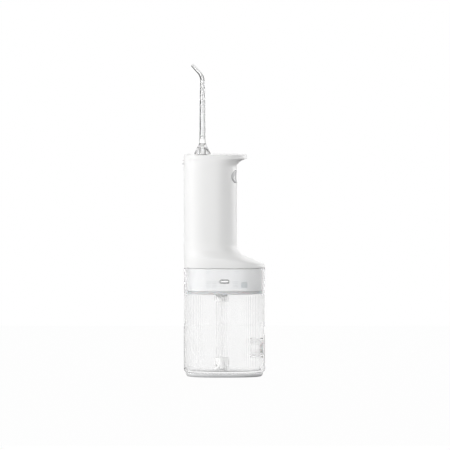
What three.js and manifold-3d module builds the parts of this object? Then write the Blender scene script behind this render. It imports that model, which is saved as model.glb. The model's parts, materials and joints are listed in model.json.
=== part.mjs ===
// Cordless water flosser: a clear ribbed tank, a lift-off handle that holds the pump, gears and
// cell, and a clear bent nozzle that swivels and pulls out. Millimetres, +Z up.
// The origin is the centre of the tank's footprint, on the surface that it stands on. The heights
// below are measured from a datum that lies a little above that surface.
// -X is the button side, +X the finger-rest side and -Y the side with the charging port.

import * as THREE from 'three';
import { mergeVertices } from 'three/addons/utils/BufferGeometryUtils.js';
import Module from 'manifold-3d';

const wasm = await Module();
wasm.setup();

// ---- Driving dimensions ----------------------------------------------------------------------

const GAP = 0.3; // clearance that neighbouring pieces keep
const PLAN_STEPS = 40; // points round a plan outline
const ROUND_STEPS = 20; // sides of a large round piece
const HOSE_STEPS = 16; // sides of a hose or of the nozzle's tube
const SMALL_STEPS = 12; // sides of a pin, screw or small bore

const DATUM = 1.2; // height of the datum above the surface that the flosser stands on
const FRONT = -39;
const TANK = { front: FRONT, back: 39, halfWidth: 26.5, power: 2.8 };
const TANK_BOTTOM = 2.4;
const TANK_RIM = 103.1;
const TANK_FLOOR = 4.9;
const TANK_ROUND = 3; // radius of the tank's bottom edge
const FLOOR_ROUND = 1.5; // slope between the tank's floor and its wall
const MOUTH_WALL = 2; // wall of the smooth mouth above the ledge
const RIBBED_WALL = 2.6; // mean wall of the ribbed part below the ledge
const TANK_LEDGE = 77.7;

const GRIP = { front: FRONT, back: 12, halfWidth: 23.2, power: 2.6 };
const HOOK = { front: FRONT, back: 21.6, halfWidth: 23.2, power: 2.6 };
const SHOULDER = 8.6; // how far the skirt's shoulder climbs from the back to the front
const SHELL_BOTTOM = TANK_RIM + GAP;
const SHELL_TOP = 212;
const SHELL_WALL = 2.1;
const COVER = { bottom: 209.1, top: 211.8, inset: 0.5, hole: 6.3 };

const PLUG = { seat: 78.2, ringTop: 81.4, rim: 102.9, neckTop: 104.9 };
const PLUG_WALLS = { clearance: 0.4, groove: 1.6, ring: 1.2, neck: 3.2, room: 5.4, floor: 2.2 };

const NOZZLE_X = -21.1;
const NOZZLE = { foot: 198.4, sleeveTop: 229.4, bendStart: 282.2, bendRadius: 13, bendAngle: 43, reach: 9 };
const NOZZLE_RADII = { stem: 2.2, shoulder: 2.9, tip: 1.75, bore: 0.8, tipBore: 0.5 };
const NOZZLE_TAPER = 2; // the tube narrows slowly at first and faster towards its tip
const SKIRT = { bottom: 212.3, top: 222.6, radius: 7.9, sleeve: 3.05, plug: 4.5, bore: 2.5 };
const NOZZLE_PLUG = { bottom: 197.7, grooveLow: 198.6, grooveHigh: 200.8, groove: 3.8 };

const OUTSIDE = 41; // X a little past the tank's back, where cutters end
const PORT = { height: 26, hole: 7, collar: 9.5, collarEnd: 23.5 };
const STOPPER = { radius: 6.2, length: 3.7, x: 34.45 };
const FILLER = { bottom: 10.6, top: 39.4, halfWidth: 10.7, face: 36.6 };
const PIN = { x: 37.3, z: 11.4, radius: 0.7, clearance: 0.4, holeLength: 20 };
const RECESS = { floor: 36.2, bottom: 9.2, top: 47.6, halfWidth: 11 };
const BOSS = { inner: 33.3, outer: 37, top: 50.6, halfWidth: 13.4 };
const HINGE_LUG = { inner: 5.5, outer: 8, back: 38.3, top: 12.8 };
const HINGE_NOTCH = { side: 0.4, top: 1.4 }; // room that the cap leaves round the lugs

const MODULE = 0.8; // gear module
const PINION_TEETH = 10;
const GEAR_TEETH = 32;
const GEAR_Y = 5.2;
const GEAR_WIDTH = 3.6;
const CRANK_Z = 136;
const CRANK_THROW = 3.2;
const ROD_LENGTH = 20.4;
const MOTOR_Z = CRANK_Z - (MODULE * (PINION_TEETH + GEAR_TEETH)) / 2;

const BUTTON_RADIUS = 4;
const BUTTON_HEIGHTS = { power: 189.9, mode: 173.3 };
const RELEASE = { z: 204.5, width: 9, height: 4.3, depth: 3.4, stem: 2.4, stemEnd: -33.9 };
const LATCH = { left: -33.6, right: -14, halfWidth: 8, thickness: 1.8 };
const JET = { z: 190.9, width: 33.6, height: 11.2 };
const LIGHT = { z: 155, width: 2, height: 10 };

const USB = { z: 90.9, width: 8.94, height: 3.16, length: 6.5, wall: 0.3, hole: 0.32 };
const SUCTION = { x: -3, bore: 2.8, radius: 4, bottom: 9.5, top: 75.8, spigotHole: 3.5 };
const FILTER = { bottom: 5.5, floor: 8.5, top: 16.6, slotTop: 10.5, slotWidth: 1.2 };

const finish = (color, roughness, metalness = 0, opacity = 1) =>
  new THREE.MeshStandardMaterial({ color, roughness, metalness, opacity, transparent: opacity < 1 });

const WHITE = () => finish(0xf4f4f3, 0.45);
const CLEAR = () => finish(0xf3f6f7, 0.12, 0, 0.3);
const SILICONE = () => finish(0xc9cbcc, 0.7);
const STEEL = () => finish(0xb4b6b8, 0.3, 1);
const BOARD = () => finish(0x1f5a3a, 0.6);
const DARK = () => finish(0x2b2c2e, 0.55);
const FRAME = () => finish(0xd6d7d8, 0.6);
const ACETAL = () => finish(0xe9e7df, 0.5);

// ---- Geometry helpers ------------------------------------------------------------------------

// A closed plan outline between front and back, squarer than an ellipse as the power rises.
function plan({ front, back, halfWidth, power }, inset = 0) {
  const middle = (front + back) / 2;
  const reach = (back - front) / 2 - inset;
  const bend = (value) => Math.sign(value) * Math.abs(value) ** (2 / power);
  return Array.from({ length: PLAN_STEPS }, (_, i) => {
    const angle = (2 * Math.PI * i) / PLAN_STEPS;
    const y = (halfWidth - inset) * bend(Math.sin(angle));
    return new THREE.Vector2(middle + reach * bend(Math.cos(angle)), y);
  });
}

const level = (outline, z) => outline.map(({ x, y }) => new THREE.Vector3(x, y, z));

// Skins closed sections that have equal point counts. Flat fans close both ends, unless the
// sections form a ring that closes on itself.
function loft(sections, ring = false) {
  const count = sections[0].length;
  const points = sections.flat();
  const faces = [];
  const last = ring ? sections.length : sections.length - 1;
  for (let i = 0; i < last; i += 1) {
    const low = i * count;
    const high = ((i + 1) % sections.length) * count;
    for (let k = 0; k < count; k += 1) {
      const next = (k + 1) % count;
      faces.push(low + k, low + next, high + next, low + k, high + next, high + k);
    }
  }
  const fan = (section, start, flip) => {
    const centre = points.length;
    const middle = new THREE.Vector3();
    section.forEach((point) => middle.add(point));
    points.push(middle.divideScalar(count));
    for (let k = 0; k < count; k += 1) {
      const pair = [start + k, start + ((k + 1) % count)];
      faces.push(centre, ...(flip ? pair.reverse() : pair));
    }
  };
  if (!ring) {
    fan(sections[0], 0, true);
    fan(sections.at(-1), (sections.length - 1) * count, false);
  }
  return outward(new THREE.BufferGeometry().setFromPoints(points).setIndex(faces));
}

// Turns an inside-out surface right side out.
function outward(geometry) {
  const { array } = geometry.attributes.position;
  const index = geometry.index.array;
  const corner = (i) => new THREE.Vector3().fromArray(array, 3 * index[i]);
  let volume = 0;
  for (let i = 0; i < index.length; i += 3) {
    volume += corner(i).dot(corner(i + 1).cross(corner(i + 2)));
  }
  if (volume < 0) {
    const flipped = [];
    for (let i = 0; i < index.length; i += 3) flipped.push(index[i], index[i + 2], index[i + 1]);
    geometry.setIndex(flipped);
  }
  return geometry;
}

const pairs = (list) => list.map(([x, y]) => new THREE.Vector2(x, y));

// A body of revolution about Z. Its profile of [radius, height] pairs is closed or ends on the axis.
function revolve(profile, steps = ROUND_STEPS) {
  const lathe = new THREE.LatheGeometry(pairs(profile), steps).rotateX(Math.PI / 2);
  lathe.deleteAttribute('normal').deleteAttribute('uv');
  return outward(mergeVertices(lathe));
}

const rod = (radius, low, high, steps = SMALL_STEPS) =>
  revolve([[0, low], [radius, low], [radius, high], [0, high]], steps);

const tube = (inner, outer, low, high, steps = ROUND_STEPS) =>
  revolve([[inner, low], [outer, low], [outer, high], [inner, high], [inner, low]], steps);

// A flat shape given thickness along Z, centred on Z = 0.
function plate(shape, thickness, curveSegments = 6) {
  const options = { depth: thickness, bevelEnabled: false, curveSegments };
  return new THREE.ExtrudeGeometry(shape, options).translate(0, 0, -thickness / 2);
}

const box = (low, high) =>
  new THREE.BoxGeometry(high[0] - low[0], high[1] - low[1], high[2] - low[2]).translate(
    (low[0] + high[0]) / 2,
    (low[1] + high[1]) / 2,
    (low[2] + high[2]) / 2,
  );

// Local X, Y and Z become Y, Z and X: a shape drawn in Y and Z is then thick along X.
const alongX = (geometry) => geometry.applyMatrix4(
  new THREE.Matrix4().makeBasis(
    new THREE.Vector3(0, 1, 0),
    new THREE.Vector3(0, 0, 1),
    new THREE.Vector3(1, 0, 0),
  ),
);

// Local X and Y become X and Z: a shape drawn in X and Z is then thick along Y.
const alongY = (geometry) => geometry.rotateX(Math.PI / 2);

// A slot shape with half-round ends, longer across or longer up.
function pill(width, height) {
  const radius = Math.min(width, height) / 2;
  const across = width / 2 - radius;
  const up = height / 2 - radius;
  const turn = Math.PI / 2;
  return new THREE.Shape()
    .absarc(across, up, radius, 0, turn)
    .absarc(-across, up, radius, turn, 2 * turn)
    .absarc(-across, -up, radius, 2 * turn, 3 * turn)
    .absarc(across, -up, radius, 3 * turn, 4 * turn);
}

function solid(geometry) {
  const bare = geometry.clone();
  bare.deleteAttribute('normal').deleteAttribute('uv');
  const merged = mergeVertices(bare, 1e-4);
  const vertProperties = merged.attributes.position.array;
  const triVerts = new Uint32Array(merged.index.array);
  return new wasm.Manifold(new wasm.Mesh({ numProp: 3, vertProperties, triVerts }));
}

function surface(body) {
  const { vertProperties, triVerts } = body.getMesh();
  return new THREE.BufferGeometry()
    .setAttribute('position', new THREE.BufferAttribute(vertProperties, 3))
    .setIndex(new THREE.BufferAttribute(triVerts, 1));
}

const fold = (method) => (first, ...rest) =>
  surface(rest.reduce((body, next) => body[method](solid(next)), solid(first)));
const cut = fold('subtract');
const join = fold('add');
const overlap = fold('intersect');

// Adds a named mesh to a group.
function piece(group, name, geometry, material, x = 0, y = 0, z = 0) {
  const mesh = new THREE.Mesh(geometry, material);
  mesh.name = name;
  mesh.position.set(x, y, z);
  group.add(mesh);
  return mesh;
}

// ---- Tank: clear vessel, base pad, filler port and filler cap ----------------------------------

function hingeHole(length) {
  const hole = rod(PIN.radius + PIN.clearance, -length / 2, length / 2);
  return alongY(hole).translate(PIN.x, 0, PIN.z);
}

function tankVessel() {
  const edge = [0, 30, 60, 90].map((degrees) => {
    const turn = THREE.MathUtils.degToRad(degrees);
    const inset = TANK_ROUND * (1 - Math.sin(turn));
    return level(plan(TANK, inset), TANK_BOTTOM + TANK_ROUND * (1 - Math.cos(turn)));
  });
  const mouth = plan(TANK, MOUTH_WALL);
  const ribbed = plan(TANK, RIBBED_WALL);
  const vessel = loft([
    ...edge,
    level(plan(TANK), TANK_RIM),
    level(mouth, TANK_RIM),
    level(mouth, TANK_LEDGE),
    level(ribbed, TANK_LEDGE),
    level(ribbed, TANK_FLOOR + FLOOR_ROUND),
    level(plan(TANK, RIBBED_WALL + FLOOR_ROUND), TANK_FLOOR),
  ]);
  const boss = box([BOSS.inner, -BOSS.halfWidth, TANK_FLOOR - 1], [BOSS.outer, BOSS.halfWidth, BOSS.top]);
  const collar = alongX(rod(PORT.collar, PORT.collarEnd, BOSS.inner + 1, ROUND_STEPS))
    .translate(0, 0, PORT.height);
  const recess = box([RECESS.floor, -RECESS.halfWidth, RECESS.bottom], [OUTSIDE, RECESS.halfWidth, RECESS.top]);
  const lug = (side) => {
    const inner = side * HINGE_LUG.inner;
    const outer = side * HINGE_LUG.outer;
    const [low, high] = [Math.min(inner, outer), Math.max(inner, outer)];
    return box([RECESS.floor - 1, low, RECESS.bottom - 1], [HINGE_LUG.back, high, HINGE_LUG.top]);
  };
  const hole = alongX(rod(PORT.hole, PORT.collarEnd - 1, OUTSIDE, ROUND_STEPS)).translate(0, 0, PORT.height);
  const pinHole = hingeHole(PIN.holeLength);
  const whole = join(overlap(join(vessel, boss), loft([...edge, level(plan(TANK), TANK_RIM)])), collar);
  return cut(join(cut(whole, recess), lug(-1), lug(1)), hole, pinHole);
}

const basePad = () => loft([
  level(plan(TANK, 4), -DATUM),
  level(plan(TANK, 2.4), 0),
  level(plan(TANK, 1.8), TANK_BOTTOM - GAP),
]);

function fillerCap() {
  const { bottom, top, halfWidth, face } = FILLER;
  const block = box([face, -halfWidth, bottom], [OUTSIDE, halfWidth, top]);
  const notch = (side) => {
    const inner = side * (HINGE_LUG.inner - HINGE_NOTCH.side);
    const outer = side * (HINGE_LUG.outer + HINGE_NOTCH.side);
    const [low, high] = [Math.min(inner, outer), Math.max(inner, outer)];
    return box([face - 1, low, bottom - 1], [OUTSIDE + 1, high, HINGE_LUG.top + HINGE_NOTCH.top]);
  };
  const outer = loft([level(plan(TANK), bottom - 1), level(plan(TANK), top + 1)]);
  return cut(overlap(block, outer), notch(-1), notch(1), hingeHole(2 * HINGE_LUG.inner));
}

const tank = new THREE.Group();
piece(tank, 'tank_vessel', tankVessel(), CLEAR());
piece(tank, 'base_pad', basePad(), finish(0xbfc1c3, 0.75));
const hingePin = piece(
  tank,
  'filler_hinge_pin',
  rod(PIN.radius, -HINGE_LUG.outer, HINGE_LUG.outer),
  STEEL(),
  PIN.x,
  0,
  PIN.z,
);
hingePin.rotation.x = Math.PI / 2;

const filler = new THREE.Group();
piece(filler, 'filler_cap', fillerCap(), WHITE());
const stopper = piece(
  filler,
  'filler_stopper',
  rod(STOPPER.radius, -STOPPER.length / 2, STOPPER.length / 2, ROUND_STEPS),
  SILICONE(),
  STOPPER.x,
  0,
  PORT.height,
);
stopper.rotation.y = Math.PI / 2;
tank.add(filler);

// ---- Handle shell: grip with a finger hook above and a skirt that flares to the tank -----------

// The back edge of the side view, as [X, Z] points of two smooth curves.
const SKIRT_EDGE = [[39, 104.4], [36.6, 107], [26.8, 111], [18, 115.2], [12.4, 121.5], [12, 127.5]];
const HOOK_EDGE = [[12, 197], [12.4, 202.1], [16.3, 205.9], [21.6, 208.2]];

// Height of the skirt's shoulder above its back edge, for a point of the tank's outline at x.
const shoulder = (x) => SHOULDER * ((TANK.back - x) / (TANK.back - TANK.front)) ** 0.7;

// Sections along an edge curve that blend a wide outline into the grip's. Each point is raised by
// the rise at its x; inner sections keep the wall's thickness.
function edgeSections(edge, outline, steps, wall = 0, rise = () => 0) {
  const curve = new THREE.SplineCurve(pairs(edge));
  const [grip, gripInner, wide, wideInner] = [plan(GRIP), plan(GRIP, 1), plan(outline), plan(outline, 1)];
  const reach = outline.back - GRIP.back;
  return Array.from({ length: steps + 1 }, (_, i) => {
    const point = curve.getPoint(i / steps);
    const along = curve.getTangent(i / steps);
    return grip.map((start, k) => {
      const run = (along.x * start.distanceTo(wide[k])) / reach;
      const length = Math.hypot(run, along.y);
      const inset = (wall * along.y) / length;
      const narrow = start.clone().lerp(gripInner[k], inset);
      const broad = wide[k].clone().lerp(wideInner[k], inset);
      const { x, y } = narrow.lerp(broad, (point.x - GRIP.back) / reach);
      return new THREE.Vector3(x, y, point.y + rise(wide[k].x) + (wall * run) / length);
    });
  });
}

function gripSolid() {
  return loft([
    level(plan(TANK), SHELL_BOTTOM),
    ...edgeSections(SKIRT_EDGE, TANK, 8, 0, shoulder),
    ...edgeSections(HOOK_EDGE, HOOK, 4),
    level(plan(HOOK), SHELL_TOP),
  ]);
}

// The room inside the shell, open below to the plug and above to the cover's recess.
function gripRoom() {
  const mouth = plan(TANK, SHELL_WALL);
  const recess = plan(HOOK, SHELL_WALL);
  return loft([
    level(mouth, SHELL_BOTTOM - 1),
    level(mouth, SHELL_BOTTOM + 0.6),
    ...edgeSections(SKIRT_EDGE, TANK, 8, SHELL_WALL, shoulder).slice(2),
    ...edgeSections(HOOK_EDGE, HOOK, 4, SHELL_WALL).slice(0, 4),
    level(recess, COVER.bottom - GAP),
    level(recess, SHELL_TOP + 1),
  ]);
}

const frontHole = (shape, z) => alongX(plate(shape, 8)).translate(FRONT + 2, 0, z);
const backHole = (shape, z) => alongX(plate(shape, 20)).translate(GRIP.back, 0, z);

function handleShell() {
  const buttonHole = pill(2 * (BUTTON_RADIUS + GAP), 2 * (BUTTON_RADIUS + GAP));
  return cut(
    cut(gripSolid(), gripRoom()),
    frontHole(buttonHole, BUTTON_HEIGHTS.power),
    frontHole(buttonHole, BUTTON_HEIGHTS.mode),
    frontHole(pill(RELEASE.width + 2 * GAP, RELEASE.height + 2 * GAP), RELEASE.z),
    frontHole(pill(LIGHT.width + 2 * GAP, LIGHT.height + 2 * GAP), LIGHT.z),
    backHole(pill(JET.width + 2 * GAP, JET.height + 2 * GAP), JET.z),
  );
}

function topCover() {
  const outline = plan(HOOK, SHELL_WALL + COVER.inset);
  const sheet = loft([level(outline, COVER.bottom), level(outline, COVER.top)]);
  const hole = rod(COVER.hole, COVER.bottom - 1, COVER.top + 1, ROUND_STEPS);
  return cut(sheet, hole.translate(NOZZLE_X, 0, 0));
}

function rearJetButton() {
  const { width, height, z } = JET;
  const block = alongX(plate(pill(width, height), 20)).translate(GRIP.back, 0, z);
  const face = overlap(block, gripSolid());
  const inner = level(plan(GRIP, SHELL_WALL), z - height);
  const room = loft([inner, inner.map((point) => point.clone().setZ(z + height))]);
  const stem = alongX(rod(2, GRIP.back - 4, GRIP.back - 1)).translate(0, 0, z);
  return join(cut(face, room), stem);
}

const handle = new THREE.Group();
piece(handle, 'handle_shell', handleShell(), WHITE());
piece(handle, 'top_cover', topCover(), WHITE());
const jet = new THREE.Group();
piece(jet, 'rear_jet_button', rearJetButton(), finish(0x9c9ea0, 0.25));
handle.add(jet);

// ---- Plug: the handle's lower housing, which seals the tank's mouth ----------------------------

const plugPlan = (inset) => plan(TANK, MOUTH_WALL + PLUG_WALLS.clearance + inset);

function lowerPlug() {
  const body = loft([
    level(plugPlan(PLUG_WALLS.groove), PLUG.seat),
    level(plugPlan(PLUG_WALLS.groove), PLUG.ringTop),
    level(plugPlan(0), PLUG.ringTop),
    level(plugPlan(0), PLUG.rim),
    level(plugPlan(PLUG_WALLS.neck), PLUG.rim),
    level(plugPlan(PLUG_WALLS.neck), PLUG.neckTop),
    level(plugPlan(PLUG_WALLS.room), PLUG.neckTop),
    level(plugPlan(PLUG_WALLS.room), PLUG.seat + PLUG_WALLS.floor),
  ]);
  const portHole = pill(USB.width + 2 * USB.hole, USB.height + 2 * USB.hole);
  const port = alongY(plate(portHole, 12)).translate(0, -24, USB.z);
  const spigotHole = rod(SUCTION.spigotHole, PLUG.seat - 1, PLUG.seat + 4).translate(SUCTION.x, 0, 0);
  return cut(body, port, spigotHole);
}

function plugSealRing() {
  const low = PLUG.seat + GAP;
  const high = PLUG.ringTop - GAP;
  const outer = plan(TANK, MOUTH_WALL + GAP);
  const inner = plugPlan(PLUG_WALLS.ring);
  return loft([level(inner, low), level(outer, low), level(outer, high), level(inner, high)], true);
}

function suctionConnector() {
  return revolve([
    [2, 83], [2, 76.2], [4.4, 76.2], [4.4, 70.5], [5, 70.5], [5, 74.6], [6, 75.4], [6, 77.9],
    [3.1, 77.9], [3.1, 83], [2, 83],
  ]);
}

function suctionFilter() {
  const { bottom, floor, top, slotTop, slotWidth } = FILTER;
  const cup = revolve([
    [0, bottom], [5.6, bottom], [6.25, bottom + 0.7], [6.25, top], [4.4, top], [4.4, floor], [0, floor],
  ]);
  const slot = (turn) => box([-8, -slotWidth / 2, bottom - 1], [8, slotWidth / 2, slotTop]).rotateZ(turn);
  return cut(cup, slot(0), slot(Math.PI / 3), slot((2 * Math.PI) / 3));
}

piece(handle, 'lower_plug', lowerPlug(), WHITE());
piece(handle, 'plug_seal_ring', plugSealRing(), SILICONE());
piece(handle, 'suction_connector', suctionConnector(), FRAME(), SUCTION.x);
const suctionTube = tube(SUCTION.bore, SUCTION.radius, SUCTION.bottom, SUCTION.top, HOSE_STEPS);
piece(handle, 'suction_tube', suctionTube, CLEAR(), SUCTION.x);
piece(handle, 'suction_filter', suctionFilter(), FRAME(), SUCTION.x);

function usbShell() {
  const { width, height, length, wall } = USB;
  const outer = alongY(plate(pill(width, height), length));
  const inner = alongY(plate(pill(width - 2 * wall, height - 2 * wall), length)).translate(0, -2 * wall, 0);
  return cut(outer, inner);
}

piece(handle, 'usb_port_shell', usbShell(), STEEL(), 0, -20.7, USB.z);
piece(handle, 'usb_tongue', box([-3.35, -2, -0.35], [3.35, 2, 0.35]), DARK(), 0, -20.4, USB.z);
piece(handle, 'charge_pcb', box([-9, -5.5, -0.5], [9, 5.5, 0.5]), BOARD(), 0, -12.6, 88.4);

// ---- Pump: vertical cylinder under the nozzle, fed from the plug -------------------------------

const PUMP = { bore: 6.7, outer: 8.4, bottom: 150.6, top: 176.4, headTop: 182.5, inletZ: 179.6 };
const OUTLET = { chamber: 178.9, valve: 179.3, hose: 182.8, socket: 192 };
const SOCKET = { bore: 1.5, outer: 7.6, inner: 6.2, floor: 197.4, top: 202.9 };

function pumpHead() {
  const disc = rod(PUMP.outer, PUMP.top + GAP, PUMP.headTop, ROUND_STEPS);
  const boss = alongY(rod(2.4, 6, 12)).translate(0, 0, PUMP.inletZ);
  const outlet = rod(3.2, OUTLET.chamber, PUMP.headTop + 1);
  const passage = rod(1.2, PUMP.top - 1, OUTLET.chamber + 1);
  const inlet = join(
    alongY(rod(1.9, 9, 13)).translate(0, 0, PUMP.inletZ),
    alongY(rod(0.8, 0, 10)).translate(0, 0, PUMP.inletZ - 1.2),
  );
  return cut(join(disc, boss), outlet, passage, inlet);
}

// A hose of round section along a smooth curve through the given points.
function hose(points, radius, bore) {
  const path = new THREE.CatmullRomCurve3(points.map((p) => new THREE.Vector3(...p)));
  const options = { steps: 22, bevelEnabled: false, extrudePath: path, curveSegments: 4 };
  const disc = (size) => new THREE.Shape().absarc(0, 0, size, 0, 2 * Math.PI);
  return cut(
    new THREE.ExtrudeGeometry(disc(radius), options),
    new THREE.ExtrudeGeometry(disc(bore), options),
  );
}

const INLET_ROUTE = [
  [SUCTION.x, 0, 83.4],
  [SUCTION.x, 0, 88],
  [-5, -6, 98],
  [-8, -13, 108],
  [-8, -13.6, 125],
  [-8, -13.6, 160],
  [-11, -15, 174],
  [-17, -17, 179.4],
  [NOZZLE_X, -16, PUMP.inletZ],
  [NOZZLE_X, -12.4, PUMP.inletZ],
];

const pump = new THREE.Group();
pump.position.x = NOZZLE_X;
piece(pump, 'pump_cylinder', tube(PUMP.bore, PUMP.outer, PUMP.bottom, PUMP.top), FRAME());
piece(pump, 'pump_head', pumpHead(), FRAME());
const valve = OUTLET.valve;
const outletValve = revolve([[0, valve], [2.7, valve], [2.7, valve + 1], [1, valve + 2.3], [0, valve + 2.3]]);
piece(pump, 'outlet_valve', outletValve, SILICONE());
const inletValve = piece(pump, 'inlet_valve', rod(1.4, -0.6, 0.6), SILICONE(), 0, -10.6, PUMP.inletZ);
inletValve.rotation.x = Math.PI / 2;
const outletTube = tube(SOCKET.bore, 2.6, OUTLET.hose, OUTLET.socket - GAP, SMALL_STEPS);
piece(pump, 'outlet_tube', outletTube, SILICONE());
const nozzleSocket = revolve([
  [SOCKET.bore, OUTLET.socket], [SOCKET.outer, OUTLET.socket], [SOCKET.outer, SOCKET.top],
  [SOCKET.inner, SOCKET.top], [SOCKET.inner, SOCKET.floor], [SOCKET.bore, SOCKET.floor],
  [SOCKET.bore, OUTLET.socket],
]);
piece(pump, 'nozzle_socket', nozzleSocket, FRAME());
piece(pump, 'top_gasket', tube(4.9, 6, COVER.bottom + 0.4, COVER.top - 0.1), SILICONE());
handle.add(pump);
piece(handle, 'inlet_tube', hose(INLET_ROUTE, 2.2, 1.3), SILICONE());

const piston = new THREE.Group();
const pistonBody = revolve([
  [5, 154], [6.2, 154], [6.2, 164.4], [5.5, 164.4], [5.5, 166.6], [6.2, 166.6], [6.2, 168], [0, 168],
  [0, 163.1], [5, 163.1], [5, 154],
]);
piece(piston, 'piston', pistonBody, ACETAL());
piece(piston, 'piston_seal', tube(5.8, 6.4, 164.7, 166.3), SILICONE());
pump.add(piston);

// ---- Drive: motor, pinion, crank gear and rod --------------------------------------------------

// A spur gear's outline with short, slim teeth that leave backlash. The first tooth is on +X.
function gearShape(teeth, boreRadius) {
  const pitch = (2 * Math.PI) / teeth;
  const rootRadius = MODULE * (teeth / 2 - 1.15);
  const tipRadius = MODULE * (teeth / 2 + 0.8);
  const shape = new THREE.Shape();
  for (let i = 0; i < teeth; i += 1) {
    const corners = [[-0.3, rootRadius], [-0.13, tipRadius], [0.13, tipRadius], [0.3, rootRadius]];
    corners.forEach(([share, radius], k) => {
      const angle = (i + share) * pitch;
      const move = i + k === 0 ? 'moveTo' : 'lineTo';
      shape[move](radius * Math.cos(angle), radius * Math.sin(angle));
    });
  }
  shape.closePath();
  shape.holes.push(new THREE.Path().absarc(0, 0, boreRadius, 0, 2 * Math.PI, true));
  return shape;
}

// The gear's gap faces straight down and the pinion's tooth straight up, so they mesh.
function crankGear() {
  const disc = alongY(plate(gearShape(GEAR_TEETH, 2), GEAR_WIDTH).rotateZ(Math.PI / GEAR_TEETH));
  const pin = alongY(rod(1.5, 0, 8)).translate(CRANK_THROW, 0, 0);
  return join(disc, pin.translate(0, -0.1, 0));
}

function connectingRod() {
  const eye = alongY(tube(1.9, 3.4, -2.3, 2.3));
  const bar = box([-1.3, -1.1, 2.8], [1.3, 1.1, ROD_LENGTH]);
  return join(eye, bar);
}

const drive = new THREE.Group();
drive.position.set(NOZZLE_X, 0, CRANK_Z);
const crank = new THREE.Group();
piece(crank, 'crank_gear', crankGear(), ACETAL(), 0, GEAR_Y);
drive.add(crank);
piece(drive, 'connecting_rod', connectingRod(), FRAME(), CRANK_THROW);
const gearAxle = piece(drive, 'gear_axle', rod(1.5, -3.1, 3.1), STEEL(), 0, GEAR_Y + 1.8);
gearAxle.rotation.x = Math.PI / 2;

const PLATE_EDGE = { left: -13, right: 12.8, bottom: -29, top: 14.2 };
const SCREWS = [[-9.6, -26.5], [10.8, -26.5], [-9.6, 12], [10.8, 12]];
const SCREW_HOLE = 1.3;
const PLATE_Y = 8.4;

function gearboxPlate() {
  const { left, right, bottom, top } = PLATE_EDGE;
  const sheet = box([left, -0.8, bottom], [right, 0.8, top]);
  const holes = SCREWS.map(([x, z]) => alongY(rod(SCREW_HOLE, -3, 3)).translate(x, 0, z));
  return cut(sheet, alongY(rod(1.9, -3, 3)), ...holes);
}

piece(drive, 'gearbox_plate', gearboxPlate(), STEEL(), 0, PLATE_Y);

const motor = new THREE.Group();
motor.position.z = MOTOR_Z - CRANK_Z;
const turned = (group, name, geometry, material, y = 0) => {
  const mesh = piece(group, name, geometry, material, 0, y);
  mesh.rotation.x = Math.PI / 2;
};
turned(motor, 'motor_can', tube(1.5, 9.6, -8.45, 8.45), STEEL(), -6.85);
turned(motor, 'motor_endcap', tube(1.5, 8.8, -0.8, 0.8), DARK(), -16.4);
turned(motor, 'motor_shaft', rod(1, -11.2, 11.2), STEEL(), -3.9);
const pinion = alongY(plate(gearShape(PINION_TEETH, 1.35), 4).rotateZ(Math.PI / PINION_TEETH));
piece(motor, 'pinion', pinion, finish(0xc9a45c, 0.35, 1), 0, GEAR_Y);
drive.add(motor);
handle.add(drive);

// ---- Electrics, frame and buttons ---------------------------------------------------------------

const CELL = { x: 0.9, radius: 8.5, bottom: 131, top: 181 };
const cell = revolve([
  [0, CELL.bottom], [CELL.radius, CELL.bottom], [CELL.radius, CELL.top - 1.2], [3, CELL.top - 1.2],
  [3, CELL.top], [0, CELL.top],
]);
piece(handle, 'battery_cell', cell, finish(0x4f7fb5, 0.4), CELL.x);

const CHASSIS = { left: -33, right: 6.4, low: 10.4, high: 12.2, bottom: 107.4, top: 196 };
const WINDOW = { left: -29, right: 2, bottom: 156, top: 186 }; // opening in the chassis behind the pump

function chassis() {
  const { left, right, low, high, bottom, top } = CHASSIS;
  const sheet = box([left, low, bottom], [right, high, top]);
  const window = box([WINDOW.left, low - 1, WINDOW.bottom], [WINDOW.right, high + 1, WINDOW.top]);
  const drill = () => alongY(rod(SCREW_HOLE, -high - 1, 1 - low));
  const holes = SCREWS.map(([x, z]) => drill().translate(x + NOZZLE_X, 0, z + CRANK_Z));
  return cut(sheet, window, ...holes);
}

piece(handle, 'chassis', chassis(), FRAME());

const screw = () => revolve([[0, 0], [1, 0], [1, 5.1], [1.9, 5.1], [1.9, 6.3], [0, 6.3]]);
SCREWS.forEach(([x, z], i) => {
  const mesh = piece(
    handle,
    `chassis_screw_${i + 1}`,
    screw(),
    STEEL(),
    x + NOZZLE_X,
    PLATE_Y - 1,
    z + CRANK_Z,
  );
  mesh.rotation.x = -Math.PI / 2;
});

piece(handle, 'main_pcb', box([-0.6, -8, 151], [0.6, 8, 196]), BOARD(), -32.3);
const lightGuide = alongX(plate(pill(LIGHT.width, LIGHT.height), 5));
piece(handle, 'light_guide', lightGuide, finish(0xffffff, 0.3), -36.2, 0, LIGHT.z);

const SWITCH_X = -34.1;
const switchBody = () => box([-0.9, -3, -3], [0.9, 3, 3]);
for (const [name, z] of Object.entries(BUTTON_HEIGHTS)) {
  piece(handle, `${name}_switch`, switchBody(), DARK(), SWITCH_X, 0, z);
}
piece(handle, 'jet_switch', box([-1.4, -3, -3], [1.4, 3, 3]), DARK(), 5.2, 0, JET.z);

// A flanged round button; its axis runs along X and its face is set a little into the shell.
function roundButton() {
  const rim = BUTTON_RADIUS;
  const flange = BUTTON_RADIUS + 0.8;
  return alongX(revolve([
    [0, 0.2], [2.9, 0], [rim, 0.2], [rim, 2.3], [flange, 2.3], [flange, 2.9], [0, 2.9], [0, 0.2],
  ]));
}

for (const [name, z] of Object.entries(BUTTON_HEIGHTS)) {
  const group = new THREE.Group();
  group.position.set(FRONT + 0.3, 0, z);
  piece(group, `${name}_button`, roundButton(), WHITE());
  handle.add(group);
}

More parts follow.
